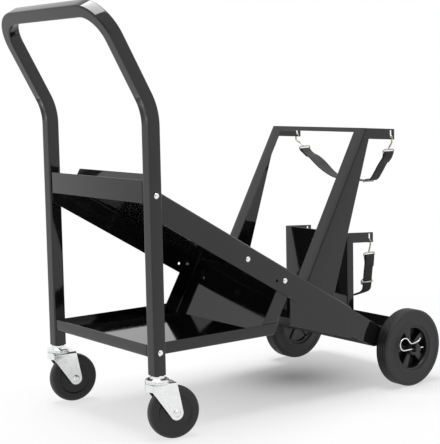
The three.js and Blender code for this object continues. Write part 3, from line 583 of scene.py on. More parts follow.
# a level tray folded on three sides, and a channel that leans up from its back edge to the tray
def makeShelf(look):
    bend = look["bend"]
    turn = levels(0, math.pi / 2, 6)
    face = look["sheet"] / 2
    low = look["height"] + face
    top = look["height"] + look["lip"]
    lipZ = np.concatenate([levels(top, low + bend, 3)[:-1], low + bend * (1 - np.sin(turn))])
    lipX = np.concatenate([np.full(2, face), face + bend * (1 - np.cos(turn))])
    strips = look["strips"]
    farX = levels(look["floorFrom"], look["depth"] + look["sheet"], strips)
    floorX = np.concatenate([lipX, farX])
    floorZ = np.concatenate([lipZ, np.full(strips, low)])
    sideX = np.concatenate([levels(0, lipX[-1], len(lipX)), farX])
    sideY = np.concatenate([np.full(2, look["wall"]), look["wall"] - bend * (1 - np.cos(turn))])
    sideZ = np.concatenate([levels(top, low + bend, 3)[:-1], low + bend * (1 - np.sin(turn))])
    leaning = (np.maximum(sideZ, look["height"]) - look["height"])[:, None] * math.tan(traySlope)
    edgeX = sideX[None] + leaning * (sideX / look["depth"])[None] ** look["leanPower"]
    acrossY = levels(look["floorHalf"], -look["floorHalf"], strips)
    x = np.concatenate([edgeX, np.repeat(floorX[None], strips, 0), edgeX[::-1]])
    edgeZ = np.repeat(sideZ[:, None], len(sideX), 1)
    z = np.concatenate([edgeZ, np.repeat(floorZ[None], strips, 0), edgeZ[::-1]])
    count = len(sideY)
    x[count - 1] = floorX
    z[count - 1] = floorZ
    x[-count] = floorX
    z[-count] = floorZ
    y = np.concatenate([sideY, acrossY, -sideY[::-1]])[:, None] + 0 * x
    keep = np.ones((len(y) - 1, len(sideX) - 1), bool)
    keep[2:count - 1, :len(lipX) - 1] = False
    keep[-(count - 1):-2, :len(lipX) - 1] = False
    floor = sheetGrid(np.stack([x, y, z], -1), keep)

    wall, flange = look["backWall"], look["flange"]
    plan = easedCorners([(-flange, wall), (face, wall), (face, -wall), (-flange, -wall)], look["backBend"], 6)
    foot = (look["depth"], look["height"] + look["sheet"])
    length = (trayTop(foot[0]) - tray["sheet"] / leanZ - foot[1]) * leanZ - look["backGap"]
    along = plan[:, :1]
    lowUp = along * leanX / leanZ - look["footSink"]
    up = lowUp + (length - lowUp) * levels(0, 1, 5)[None, :]
    backX, backZ = fromTray(foot, along, up)
    back = sheetGrid(np.stack([backX, plan[:, 1:] + 0 * up, backZ], -1))
    return makeFolded("low_shelf", [floor, back], "lower_shelf", look)


makeShelf(shelf)

bottleBase = dict(start=470, rampEnd=578, end=740, floor=91.8, rise=54, wallRise=28, recess=4, wall=166.4,
                  sheet=2, stripGap=0.5, axle=660, axleHeight=82.5, earHalf=15, earDrop=14,
                  folds=(0, 12, 4, 0), edgeRadii=(1, 12, 5, 5, 5, 5, 3, 4, 10, 1))


# ramp, floor and end wall as one folded strip, with a plate on each side
def makeBottleBase(look):
    start, end, floor = look["start"], look["end"], look["floor"]
    half = look["sheet"] / 2
    middle = floor + half
    wallTop = floor + look["wallRise"]
    rampTop = floor + look["rise"]
    fold = [(start, rampTop + half), (look["rampEnd"], middle), (end - half, middle), (end - half, wallTop)]
    profile = easedCorners(fold, look["folds"], 6)
    edgeY = look["wall"] - look["stripGap"]
    across = levels(edgeY, -edgeY, 7)[None, :]
    x = profile[:, :1] + 0 * across
    z = profile[:, 1:] + 0 * across
    strip = sheetGrid(np.stack([x, across + 0 * x, z], -1))
    levelX = (tray["height"] - look["recess"] - wallTop) / math.tan(traySlope)
    ear = look["axle"] - look["earHalf"], look["axle"] + look["earHalf"]
    low = look["axleHeight"] - look["earDrop"]
    outline = [(start, rampTop), (look["rampEnd"], floor), (ear[0] - look["earDrop"], floor), (ear[0], low),
               (ear[1], low), (ear[1] + look["earDrop"], floor), (end, floor), (end, wallTop),
               (levelX, wallTop), (start, trayTop(start) - look["recess"])]
    edge = easedCorners(outline, look["edgeRadii"], 5, True)
    plates = [flatPlate(edge, side * look["wall"]) for _, side in sides]
    # the folded strip takes the weakly reflecting coat, painted shade for the dark reflection under the cart
    makeFolded("bottle_floor", [strip], "bottle_base", look, paintedShadeCoat)
    return makeFolded("bottle_walls", plates, "bottle_base", look)


makeBottleBase(bottleBase)

lowRack = dict(place=563, half=103, foot=94.6, top=331, flange=18, webHalf=60, armHeight=22, armReach=77,
               armSlope=0.06, sheet=2, bend=3, slotInset=8, slotWidth=5, slotFloor=4, slotHeight=15)


# a channel in plan carried up from the ramp, whose flanges grow into slotted arms at the top
def makeLowRack(look):
    wall = look["half"] - look["sheet"] / 2
    web = look["place"] + look["sheet"] / 2
    turn = levels(0, math.pi / 2, 6)
    armEnd = look["place"] + look["armReach"]
    slotFar = armEnd - look["slotInset"]
    slotNear = slotFar - look["slotWidth"]
    flange = look["place"] + look["flange"]
    halfX = np.concatenate([[armEnd, slotFar, slotNear, flange], web + look["bend"] * (1 - np.sin(turn))])
    halfY = np.concatenate([np.full(4, wall), wall - look["bend"] * (1 - np.cos(turn))])
    planX = np.concatenate([halfX, np.full(3, web), halfX[::-1]])
    planY = np.concatenate([halfY, levels(look["webHalf"], -look["webHalf"], 3), -halfY[::-1]])
    armLow = look["top"] - look["armHeight"]
    slotLow = armLow + look["slotFloor"]
    slotTop = slotLow + look["slotHeight"]
    rampSlope = bottleBase["rise"] / (bottleBase["rampEnd"] - bottleBase["start"])
    foot = look["foot"] + np.maximum(0, bottleBase["rampEnd"] - planX) * rampSlope
    high = np.array([armLow, slotLow, slotTop, look["top"]])
    high = high[None] - look["armSlope"] * (planX - look["place"])[:, None]
    risen = foot[:, None] + (high[:, :1] - foot[:, None]) * levels(0, 1, 4)[None, :-1]
    z = np.concatenate([risen, high], 1)
    keep = np.ones((len(planX) - 1, z.shape[1] - 1), bool)
    keep[:3, :3] = False
    keep[1, 4] = False
    keep[-3:, :3] = False
    keep[-2, 4] = False
    points = np.stack([planX[:, None] + 0 * z, planY[:, None] + 0 * z, z], -1)
    part = sheetGrid(points, keep)
    return makeFolded("low_rack", [part], "lower_bottle_rack", look)


makeLowRack(lowRack)

hoop = dict(place=404, half=154, length=352, tilt=0.02, sink=1, foot=83, neck=18, strip=34, bar=10,
            sideSplit=0.6, armReach=82, armHeight=22, armSlope=0.06, sheet=2, bend=3, slotInset=8,
            slotWidth=5, slotFloor=4, slotHeight=15)


# rows climb the leaning legs; across a row come arm, tapered side, leg, open middle, leg, side and arm
def makeHoop(look):
    foot = (look["place"], trayTop(look["place"]))

    def fromRack(along, up):
        return fromTray(foot, along - up * look["tilt"], up)
    topX, topZ = fromRack(0, look["length"])
    neckX, _ = fromRack(look["neck"], look["length"] - look["neck"])
    slotLow = look["slotFloor"] - look["armHeight"]
    marks = topZ + np.array([-look["armHeight"], slotLow, slotLow + look["slotHeight"], 0])
    armUp = (marks - foot[1]) / (leanZ + look["tilt"] * leanX)
    barUp = look["length"] - look["bar"]
    up = np.concatenate([levels(-look["sink"], armUp[0], 6), [armUp[1], barUp, armUp[2], look["length"]]])
    legX, legZ = fromRack(look["sheet"] / 2, up)
    share = np.clip(up / (look["length"] - look["neck"]), 0, 1)
    tipX, tipZ = fromRack(look["foot"] + (look["neck"] - look["foot"]) * share, up)
    armRow = up >= armUp[0] - slack
    tipX = np.where(armRow, neckX, tipX)
    tipZ = np.where(armRow, legZ - look["armSlope"] * (neckX - legX), tipZ)
    armEnd = topX + look["armReach"]
    slotFar = armEnd - look["slotInset"]
    slotNear = slotFar - look["slotWidth"]
    turn = levels(0, math.pi / 2, 6)
    wall = look["half"] - look["sheet"] / 2
    reach = np.hypot(tipX - legX, tipZ - legZ)
    bendShare = look["bend"] * (1 - np.sin(turn))[:, None] / reach[None]
    split = np.full((1, len(up)), look["sideSplit"])
    inward = np.concatenate([np.ones((1, len(up))), split, bendShare])
    sideX = legX + (tipX - legX) * inward
    sideZ = legZ + (tipZ - legZ) * inward
    armX = np.repeat(np.array([armEnd, slotFar, slotNear])[:, None], len(up), 1)
    armZ = legZ[None] - look["armSlope"] * (armX - legX[None])
    legRows = np.repeat(legX[None], 2, 0), np.repeat(legZ[None], 2, 0)
    halfX = np.concatenate([armX, sideX, legRows[0]])
    halfZ = np.concatenate([armZ, sideZ, legRows[1]])
    sideY = np.concatenate([np.full(5, wall), wall - look["bend"] * (1 - np.cos(turn))])
    halfY = np.concatenate([sideY, [look["half"] - look["strip"] / 2, look["half"] - look["strip"]]])
    x = np.concatenate([halfX, halfX[::-1]])
    z = np.concatenate([halfZ, halfZ[::-1]])
    y = np.concatenate([halfY, -halfY[::-1]])[:, None] + 0 * x
    keep = np.ones((len(y) - 1, len(up) - 1), bool)
    low = up[:-1] < armUp[0] - slack
    slotRows = (up[:-1] > armUp[1] - slack) & (up[:-1] < armUp[2] - slack)
    for first, second in ((slice(0, 3), 1), (slice(-3, None), -2)):
        keep[first, low] = False
        keep[second, slotRows] = False
    keep[len(halfY) - 1, up[:-1] < barUp - slack] = False
    part = sheetGrid(np.stack([x, y, z], -1), keep)
    return makeFolded("leaning_hoop", [part], "upper_bottle_rack", look)


makeHoop(hoop)
print("sheet metal made")


# rear wheels

wheel = dict(place=660, radius=82.5, centre=188, width=32, rim=48, rimWall=4, rimWidth=28, spokes=5,
             spokeTurn=-14, spokeHalf=(4.8, 9.6), spokeDeep=(-11.5, 7), web=-7, webHalf=1.5, hub=15,
             hubSwell=1.5, hubLength=36, room=0.3, axle=8, axleEnd=219, chamfer=1.2, ribs=5, grooveDepth=2,
             grooveSteep=2.2, grooveEdge=0.5, shoulder=3.6, ringDepth=0.9, washer=(8.3, 13.5),
             washerPlaces=dict(inner=168.7, outer=207.3))
springClip = dict(place=210, wire=2.8, eye=13, eyeX=-33, leg=[(22, 0), (10, 0), (-6, 0), (-20, 0)],
                  wave=[(-25, 24), (-17, 15.5), (-11, 11.7), (-4, 12.4), (3, 14), (9, 15), (14, 21)])


# axle: a rod turned about its own line, chamfered at both ends
def makeAxle(look):
    end, cut = look["axleEnd"], look["chamfer"]
    profile = [(0, -end), (look["axle"] - cut, -end), (look["axle"], cut - end), (look["axle"], end - cut),
               (look["axle"] - cut, end), (0, end)]
    part = turned(profile, 40, (look["place"], 0, look["radius"]), "Y", False)
    return makePiece("axle_bar", [part], blackPaint, "frame", ["rear_axle"])


# tyre: the tread's radius falls in round grooves, and each side wall rises in two low rings
def makeTyre(look, name, side):
    half = look["width"] / 2
    outer = look["radius"]
    bead = look["rim"] + look["room"]
    shoulder = look["shoulder"]
    sunk = look["ringDepth"] - half
    outline = [(bead, -look["rimWidth"] / 2), (bead + 3, -half), (bead + 7, -half), (bead + 8, sunk),
               (outer - 12, sunk), (outer - 11, -half), (outer - 3, 0.4 - half), (outer, shoulder - half)]
    edge = easedCorners(outline, [0, 2, 1.2, 0.8, 0.8, 1.2, 2.5, 0], 5)
    tread = levels(shoulder - half, half - shoulder, 141)[1:-1]
    flat = np.stack([np.full(len(tread), outer), tread], -1)
    profile = np.concatenate([edge, flat, (edge * (1, -1))[::-1]])

    def treadShape(radius, level, angle):
        pitch = 2 * (half - shoulder) / look["ribs"]
        wave = np.cos(2 * np.pi * level / pitch + np.pi * (look["ribs"] + 1))
        groove = np.clip(wave * look["grooveSteep"] - look["grooveEdge"], 0, 1)
        groove = groove * (np.abs(level) < half - shoulder)
        return radius - look["grooveDepth"] * groove
    part = turned(profile, 160, (look["place"], side * look["centre"], outer), "Y", True, treadShape)
    nodes = [f"tyre_{name}"]
    return makePiece(f"tyre_tread_{name}", [part], tyreRubber, f"rear_wheel_{name}", nodes)


# rim: a barrel, a hub and a web turned round the axle, with spokes that widen evenly from hub to barrel
def makeRim(look, name, side):
    centre = np.array([look["place"], side * look["centre"], look["radius"]])
    outer, wall, half = look["rim"], look["rimWall"], look["rimWidth"] / 2
    barrel = [(outer - wall, -half), (outer, -half), (outer, half), (outer - wall, half),
              (outer - wall - 1.5, half - 3), (outer - wall - 1.5, 3 - half)]
    bore, edge, end = look["axle"] + look["room"], look["hub"], look["hubLength"] / 2
    hub = [(bore, -end), (edge, -end), (edge + look["hubSwell"], 0), (edge, end), (bore, end)]
    root, tip = edge - 1, outer - wall
    low, high = side * look["web"] - look["webHalf"], side * look["web"] + look["webHalf"]
    disc = [(root, low), (tip, low), (tip, high), (root, high)]
    parts = [turned(easedCorners(barrel, 0.8, 3, True), 96, centre),
             turned(easedCorners(hub, 1, 3, True), 48, centre), turned(disc, 64, centre)]
    reach = levels(root, tip, 9)
    flare = np.interp(reach, (root, tip), look["spokeHalf"])
    section = easedCorners([(-1, -1), (1, -1), (1, 1), (-1, 1)], 0.2, 4, True)
    turn = math.radians(look["spokeTurn"]) + np.arange(look["spokes"]) * 2 * np.pi / look["spokes"]
    wide = section[None, None, :, 0] * flare[None, :, None]
    inner, outward = look["spokeDeep"]
    deep = section[None, None, :, 1] * (outward - inner) / 2 + side * (outward + inner) / 2 + 0 * wide
    out = reach[None, :, None] + 0 * wide
    cos, sin = np.cos(turn)[:, None, None], np.sin(turn)[:, None, None]
    points = np.stack([wide * cos + out * sin, deep + 0 * cos, out * cos - wide * sin], -1) + centre
    faces = gridFaces(len(reach), len(section), False, True)
    parts += [(spoke.reshape(-1, 3), faces) for spoke in points]
    nodes = [f"wheel_rim_{name}"]
    return makePiece(f"rim_spokes_{name}", parts, rimPlastic, f"rear_wheel_{name}", nodes)


# washers: a flat ring's section turned round the axle, on either side of the hub
def makeWashers(look, name, side):
    bore, edge = look["washer"]
    profile = [(bore, -1), (edge, -1), (edge, 1), (bore, 1)]
    for label, place in look["washerPlaces"].items():
        centre = (look["place"], side * place, look["radius"])
        part = turned(easedCorners(profile, 0.5, 3, True), 40, centre)
        makePiece(f"{label}_ring_{name}", [part], blackPaint, "frame", [f"{label}_washer_{name}"])


# spring clip: one wire, a straight leg through the axle, a round eye and a waved leg over the axle
def makeClip(look, name, side):
    angle = levels(-0.5 * math.pi, -1.5 * math.pi, 9)
    bend = look["eye"]
    eye = np.stack([look["eyeX"] + bend * np.cos(angle), bend + bend * np.sin(angle)], -1)
    flat = np.concatenate([look["leg"], eye, look["wave"]])
    level = np.full(len(flat), side * look["place"])
    path = np.stack([wheel["place"] + flat[:, 0], level, wheel["radius"] + flat[:, 1]], -1)
    part = carried(ring(look["wire"] / 2), smoothPath(path, 5), (0, 1, 0))
    makePiece(f"spring_clip_{name}", [part], brightZinc, "frame", [f"axle_clip_{name}"])


makeAxle(wheel)
for sideName, sideSign in sides:
    makeTyre(wheel, sideName, sideSign)
    makeRim(wheel, sideName, sideSign)
    makeWashers(wheel, sideName, sideSign)
    makeClip(springClip, sideName, sideSign)
print("rear wheels made")


# casters

caster = dict(stemX=11, stemY=182.7, turns=dict(right=-12, left=-8), radius=50.5, width=24, trail=30.6,
              crown=105.4, plate=3, gap=30, bend=4, tip=13, frontLow=-5.5, frontReach=11.8, rearLow=2.4,
              rearReach=12.8, rearTop=2, skirt=11, raceRadius=23, raceHeight=8, stem=6, rivet=9, nut=26,
              nutHeight=6, insert=26, room=0.3, edge=0.7)


# stem and race: their profiles turned about the stem's line, and a hexagon nut between them and the post
def makeStem(look, name, side):
    centre = (look["stemX"], side * look["stemY"], 0)
    crown, room, stem, rivet = (look[key] for key in ("crown", "room", "stem", "rivet"))
    raceLow = crown + look["plate"] + room
    nutLow = raceLow + look["raceHeight"] + room
    top = nutLow + look["nutHeight"] + room + look["insert"] - 2
    shank = [(0, crown - 3.3), (rivet, crown - 3.3), (rivet, crown - 0.4), (stem, crown - room), (stem, top),
             (0, top)]
    parts = [turned(shank, 32, centre, "Z", False),
             hexagonNut(look["nut"], look["nutHeight"], stem, nutLow, centre, "Z")]
    makePiece(f"swivel_stem_{name}", parts, brightZinc, "frame", [f"caster_stem_{name}"])
    outer = look["raceRadius"]
    dish = [(6.3, 0), (outer, 0), (outer, 2.2), (outer - 1.4, 2.6), (outer - 1.4, 3.2), (outer, 3.6),
            (outer, 5.6), (outer - 1.5, 7.2), (outer - 4, 7.2), (outer - 6.5, 4.4), (10.3, 4.4), (10.3, 8),
            (6.3, 8)]
    fillets = [0.4, 0.8, 0.5, 0.2, 0.2, 0.5, 1, 1, 1, 1.5, 0.6, 0.4, 0.4]
    part = turned(easedCorners(dish, fillets, 5, True) + (0, raceLow), 64, centre, "Z")
    makePiece(f"ball_race_{name}", [part], brightZinc, "frame", [f"caster_race_{name}"])


# a part turned about the stem to the angle the caster rests at
def swivelled(part, look, name, side):
    stem = np.array([look["stemX"], side * look["stemY"], 0])
    angle = math.radians(look["turns"][name])
    cos, sin = math.cos(angle), math.sin(angle)
    matrix = np.array([[cos, sin, 0], [-sin, cos, 0], [0, 0, 1]])
    return (np.asarray(part[0]) - stem) @ matrix + stem, part[1]


# fork: leg, crown and leg folded across Y, each level running from its front to its rear edge; the crown's
# front is a circle about the stem, with a skirt hanging from it
def makeFork(look, name, side):
    stem = np.array([look["stemX"], side * look["stemY"], 0])
    axle, trail, bend = look["radius"], look["trail"], look["bend"]
    frontLow, rearLow = axle + look["frontLow"], axle + look["rearLow"]
    mid = (look["gap"] + look["plate"]) / 2
    crown = look["crown"] + look["plate"] / 2
    turn = levels(0, math.pi / 2, 6)[1:]
    tip = axle - look["tip"] * np.cos(levels(0.12, math.pi / 2, 8))
    legZ = np.concatenate([tip, levels(rearLow, crown - bend, 7)])
    legFront = -math.sqrt(look["raceRadius"] ** 2 - mid ** 2)
    tipHalf = np.sqrt(np.maximum(look["tip"] ** 2 - (legZ - axle) ** 2, 0.01))
    skirtLow = look["crown"] - look["skirt"]
    rearTop = trail + look["rearTop"]
    frontLine = np.interp(legZ, [frontLow, skirtLow], [trail - look["frontReach"], legFront])
    rearLine = np.interp(legZ, [rearLow, crown], [trail + look["rearReach"], rearTop])
    front = np.where(legZ < frontLow, trail - tipHalf, frontLine)
    rear = np.where(legZ < rearLow, trail + tipHalf, rearLine)
    crownY = np.concatenate([mid - bend * (1 - np.cos(turn)), levels(mid - bend, 0, 6)[1:]])
    crownZ = np.concatenate([crown - bend * (1 - np.sin(turn)), np.full(5, crown)])
    front = np.concatenate([front, -np.sqrt(look["raceRadius"] ** 2 - crownY ** 2)])
    rear = np.concatenate([rear, np.maximum(rear[-1] - 0.5 * (mid - crownY), rearTop)])
    z = np.concatenate([legZ, crownZ])
    y = np.concatenate([np.full(len(legZ), mid), crownY])
    front, rear, z = (np.concatenate([part, part[-2::-1]]) for part in (front, rear, z))
    y = np.concatenate([y, -y[-2::-1]])
    share = levels(0, 1, 9)[None, :]
    x = front[:, None] + (rear - front)[:, None] * share
    points = np.stack([x, y[:, None] + 0 * x, z[:, None] + 0 * x], -1) + stem
    wide = math.asin(mid / look["raceRadius"])
    angle = levels(-wide, wide, 13)[:, None]
    skirtZ = levels(skirtLow, crown - 1, 5)[None, :]
    reach = look["raceRadius"] - look["plate"] / 2 + 0 * skirtZ
    skirt = np.stack([-reach * np.cos(angle), reach * np.sin(angle), skirtZ + 0 * angle], -1) + stem
    parts = [swivelled(sheetGrid(grid), look, name, side) for grid in (points, skirt)]
    nodes = [f"caster_fork_{name}"]
    body = f"caster_{name}"
    makePiece(f"fork_legs_{name}", parts, brightZinc, body, nodes, look["plate"], look["edge"])


# wheel bolt: a domed head and a shank turned about the wheel's axis, with a hexagon nut on its end
def makeWheelBolt(look, name, side):
    body = f"caster_{name}"
    centre = np.array([look["stemX"] + look["trail"], side * look["stemY"], look["radius"]])
    face = look["gap"] / 2 + look["plate"] + look["room"]
    head = [(0, -face - 4), (4.6, -face - 4), (6.8, -face - 1.6), (6.8, -face), (4, -face), (4, face + 6.6),
            (3.2, face + 7.2), (0, face + 7.2)]
    part = turned(easedCorners(head, [0, 2.2, 0.8, 0.3, 0.2, 0.3, 0.3, 0], 4), 40, centre, "Y", False)
    part = swivelled(part, look, name, side)
    makePiece(f"wheel_bolt_{name}", [part], brightZinc, body, [f"caster_bolt_{name}"])
    part = swivelled(hexagonNut(13, 6, 4.2, face, centre), look, name, side)
    makePiece(f"wheel_nut_{name}", [part], brightZinc, body, [f"caster_nut_{name}"])


# wheel: a crowned tread, a stepped side and a hub, turned round the bolt
def makeCasterWheel(look, name, side):
    outer, half = look["radius"], look["width"] / 2
    hub = look["gap"] / 2 - look["room"]
    corners = [(4.3, hub), (10.5, hub), (12.3, half - 2.4), (31, half - 2.4), (33.5, half - 0.4), (36, half),
               (outer - 4.5, half), (outer - 1, half - 4.5), (outer, 0)]
    outline = corners + [(radius, -level) for radius, level in corners[-2::-1]]
    fillets = [0.5, 1, 1.5, 1.5, 1.5, 2, 3, 6, 20]
    profile = easedCorners(outline, fillets + fillets[-2::-1], 5, True)
    centre = (look["stemX"] + look["trail"], side * look["stemY"], outer)
    part = swivelled(turned(profile, 96, centre), look, name, side)
    nodes = [f"caster_wheel_{name}"]
    makePiece(f"caster_tread_{name}", [part], tyreRubber, f"caster_wheel_{name}", nodes)


for sideName, sideSign in sides:
    makeStem(caster, sideName, sideSign)
    makeFork(caster, sideName, sideSign)
    makeWheelBolt(caster, sideName, sideSign)
    makeCasterWheel(caster, sideName, sideSign)
print("casters made")


# bolts

bolt = dict(radius=3, head=5.5, headHeight=3.4, nut=10)


# lowest and highest corner of a CAD node in millimetres
def nodeBox(node):
    return [np.array(corner) * 1000 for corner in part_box(node)]


# bolt: a shank and a domed head turned round it, placed by its CAD node
def makeBolt(look, name, sideName, side):
    low, high = nodeBox(f"{name}_{sideName}")
    x, z = (low + high)[[0, 2]] / 2
    tip, top = (low[1], high[1]) if side > 0 else (-high[1], -low[1])
    face = top - look["headHeight"]
    shank, edge = look["radius"], look["head"]
    head = [(0, tip), (shank - 0.5, tip), (shank, tip + 0.6), (shank, face), (edge, face), (edge, face + 0.9),
            (3.4, top - 0.5), (0, top)]
    profile = easedCorners(head, [0, 0.3, 0.3, 0.2, 0.2, 0.9, 4, 0], 5) * (1, side)
    part = turned(profile, 40, (x - startX * 1000, 0, z), "Y", False)
    makePiece(f"{name}_head_{sideName}", [part], brightZinc, "frame", [f"{name}_{sideName}"])
    low, high = nodeBox(f"{name}_nut_{sideName}")
    part = hexagonNut(look["nut"], high[1] - low[1], look["radius"] + 0.2, low[1], (x - startX * 1000, 0, z))
    makePiece(f"{name}_hexagon_{sideName}", [part], brightZinc, "frame", [f"{name}_nut_{sideName}"])


for boltName in ("panel_bolt", "shelf_bolt", "bracket_bolt", "tray_bolt"):
    for sideName, sideSign in sides:
        makeBolt(bolt, boltName, sideName, sideSign)
for sideName, _ in sides:
    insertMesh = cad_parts[f"post_insert_{sideName}"].data
    insertMesh.materials.clear()
    insertMesh.materials.append(rimPlastic)
print("bolts made")


# straps

strapLook = dict(width=25, thick=1.8, hookWire=3.6, hookDrop=26, eyeHeight=7, eyeWire=3, eyeHalf=15.5,
                 eyeCorner=2.6, arch=3.4, tip=4, routeDrop=1.8, step=2, eyeReach=9, eyeRoom=0.2,
                 layerGap=0.35, turnBack=24, twistSpread=28, buckle=13, buckleSide=2.4,
                 buckleCorner=2.5, buckleBar=(1.6, 1.1), barCorner=0.7, buckleLift=1.7)
upperStrap = dict(
    name="upper", slotX=644.9, slotLow=533.4, half=153, leans=dict(right=7, left=27), twist=22, twistAt=72,
    route=[(-141, -8.5), (-134, -16), (-126, -25.5), (-118, -36.5), (-110, -47), (-103, -55), (-96, -59),
           (-84, -60.3), (-72, -61), (-52, -61), (-25, -60.7), (0, -59), (16, -56.6), (31, -51.5), (46, -44),
           (61, -35), (76, -25.5), (92, -16), (108, -9)])
lowerStrap = dict(
    name="lower", slotX=629.5, slotLow=308.4, half=102, leans=dict(right=1, left=1), twist=0, twistAt=0,
    route=[(-100, -14), (-98, -28), (-96, -43), (-94.5, -56), (-93.5, -65), (-91, -73), (-84, -79),
           (-74, -83), (-60, -88), (-42, -94), (-22, -99), (0, -101), (28, -99), (54, -93), (74, -84),
           (86, -72), (93, -56), (97, -38), (100, -18)])


# hook: a wire over the slot's floor and down to a rectangular eye of its own wire
def makeHook(look, strap, sideName, side):
    arch = look["arch"]
    angle = levels(0, math.pi, 9)
    bow = np.stack([arch * np.cos(angle), -arch * np.sin(angle)], -1)
    lean = strap["leans"][sideName]
    ends = np.array([(-arch, look["tip"] + 3), (-arch * 0.6, look["hookDrop"] * 0.5),
                     (lean * 0.6, look["hookDrop"] * 0.8), (lean, look["hookDrop"])])
    flat = np.concatenate([[(arch, look["tip"])], bow, ends])
    outward, up = strap["half"] - flat[:, 0], strap["slotLow"] - flat[:, 1]
    path = np.stack([np.full(len(flat), strap["slotX"]), side * outward, up], -1)
    shank = carried(ring(look["hookWire"] / 2), smoothPath(path, 4), (1, 0, 0))
    top = strap["slotLow"] - look["hookDrop"]
    low = top - look["eyeHeight"]
    level = side * (strap["half"] - lean)
    near, far = strap["slotX"] - look["eyeHalf"], strap["slotX"] + look["eyeHalf"]
    corners = [(near, level, low), (far, level, low), (far, level, top), (near, level, top)]
    rounded = easedCorners(corners, look["eyeCorner"], 6, True)
    eye = carried(ring(look["eyeWire"] / 2), rounded, (0, 1, 0), True)
    name = f"{strap['name']}_hook_wire_{sideName}"
    nodes = [f"{strap['name']}_strap_hook_{sideName}"]
    return makePiece(name, [shank, eye], bronzedSteel, "frame", nodes)


# webbing: one strip that turns round both eyes and lies back against itself behind them, rolled about its
# length by a bell curve of its place across the cart
def makeWebbing(look, strap):
    bar = strap["slotLow"] - look["hookDrop"] - look["eyeHeight"]
    route = np.array(strap["route"], float)
    first, last = strap["leans"]["right"] - strap["half"], strap["half"] - strap["leans"]["left"]
    y, z = np.concatenate([[(first, 0)], route, [(last, 0)]]).T
    atEye = z == 0
    height = bar - look["routeDrop"] + z + look["routeDrop"] * atEye
    line = smoothPath(np.stack([0 * y, y, height], -1), 6)
    step = np.linalg.norm(np.diff(line, axis=0), axis=1)
    run = np.concatenate([[0], np.cumsum(step)])
    total = run[-1]
    spots = np.arange(0, total, look["step"])
    line = np.stack([np.interp(spots, run, line[:, column]) for column in range(3)], -1)
    tangent = pathTangents(line)
    across = np.cross(tangent, (1, 0, 0))
    turnRadius = look["eyeWire"] / 2 + look["thick"] / 2 + look["eyeRoom"]
    reach = look["eyeReach"]
    near = np.exp(-(spots / reach) ** 2) + np.exp(-((total - spots) / reach) ** 2)
    main = line - across * (turnRadius * near)[:, None]
    lift = turnRadius * near + (look["thick"] + look["layerGap"]) * (1 - near)
    back = line + across * lift[:, None]
    turn = levels(0, math.pi, 10)[1:-1, None]

    def loop(index, sign):
        bow = across[index] * np.cos(turn) - sign * tangent[index] * np.sin(turn)
        return line[index] + turnRadius * bow
    count = int(look["turnBack"] / look["step"])
    start, end = back[count:0:-1], back[-2:-count - 2:-1]
    path = np.concatenate([start, loop(0, 1), main[1:-1], loop(-1, -1)[::-1], end])
    path[:, 0] = strap["slotX"]
    width = levels(-look["width"] / 2, look["width"] / 2, 9)
    upward = np.cross(pathTangents(path), (1, 0, 0))
    upward *= np.where(upward[:, 2:] < 0, -1, 1)
    place = (path[:, 1:2] - strap["twistAt"]) / look["twistSpread"]
    roll = np.radians(strap["twist"]) * np.exp(-place ** 2)
    sideways = np.cos(roll) * (1, 0, 0) + np.sin(roll) * upward
    points = path[:, None] + width[None, :, None] * sideways[:, None]
    length = np.concatenate([[0], np.cumsum(np.linalg.norm(np.diff(path, axis=0), axis=1))])
    name = f"{strap['name']}_strap_strip"
    nodes = [f"{strap['name']}_strap_webbing"]
    part = sheetGrid(points)
    piece = makePiece(name, [part], strapWebbing, "frame", nodes, look["thick"], merge=False)
    layer = piece.data.uv_layers.new(name="weave")
    index = np.zeros(len(piece.data.loops), np.int32)
    piece.data.loops.foreach_get("vertex_index", index)
    flatPlace = np.stack(np.broadcast_arrays(width[None, :], length[:, None]), -1)
    flatPlace = flatPlace.reshape(-1, 2) * millimetre
    layer.data.foreach_set("uv", flatPlace[index].ravel().astype(np.float32))
    return path


# slide buckle: a flat rounded frame over the webbing and a bar under it
def makeBuckle(look, strap, path):
    low, high = nodeBox(f"{strap['name']}_strap_buckle")
    centre = (low + high) / 2
    index = int(np.argmin(np.abs(path[:, 1:] - centre[1:]).sum(1)))
    along = path[index + 2] - path[index - 2]
    along = along / np.linalg.norm(along)
    wide = np.array([1.0, 0, 0])
    up = np.cross(wide, along)
    spot = path[index]
    barWide, barHigh = look["buckleBar"]
    halfWide = look["width"] / 2 + look["buckleSide"]
    halfLong = look["buckle"] / 2 - barWide
    lift = look["thick"] / 2 + look["buckleLift"]
    corners = [(-halfWide, -halfLong), (halfWide, -halfLong), (halfWide, halfLong), (-halfWide, halfLong)]
    loop = easedCorners(corners, look["buckleCorner"], 5, True)
    path = spot + loop[:, :1] * wide + loop[:, 1:] * along + lift * up
    section = [(-barWide, -barHigh), (barWide, -barHigh), (barWide, barHigh), (-barWide, barHigh)]
    bar = easedCorners(section, look["barCorner"], 3, True)
    frameLoop = carried(bar[:, ::-1], path, up, True)
    bridge = np.array([(-halfWide, lift), (-halfWide, -lift), (halfWide, -lift), (halfWide, lift)])
    bridge = easedCorners(bridge, barWide, 5)
    bridgePath = spot + bridge[:, :1] * wide + bridge[:, 1:] * up
    middle = carried(bar, bridgePath, along)
    name = f"{strap['name']}_slide_buckle"
    nodes = [f"{strap['name']}_strap_buckle"]
    makePiece(name, [frameLoop, middle], bronzedSteel, "frame", nodes)


for strapKind in (upperStrap, lowerStrap):
    for sideName, sideSign in sides:
        makeHook(strapLook, strapKind, sideName, sideSign)
    webPath = makeWebbing(strapLook, strapKind)
    makeBuckle(strapLook, strapKind, webPath)
print("straps made")


# studio

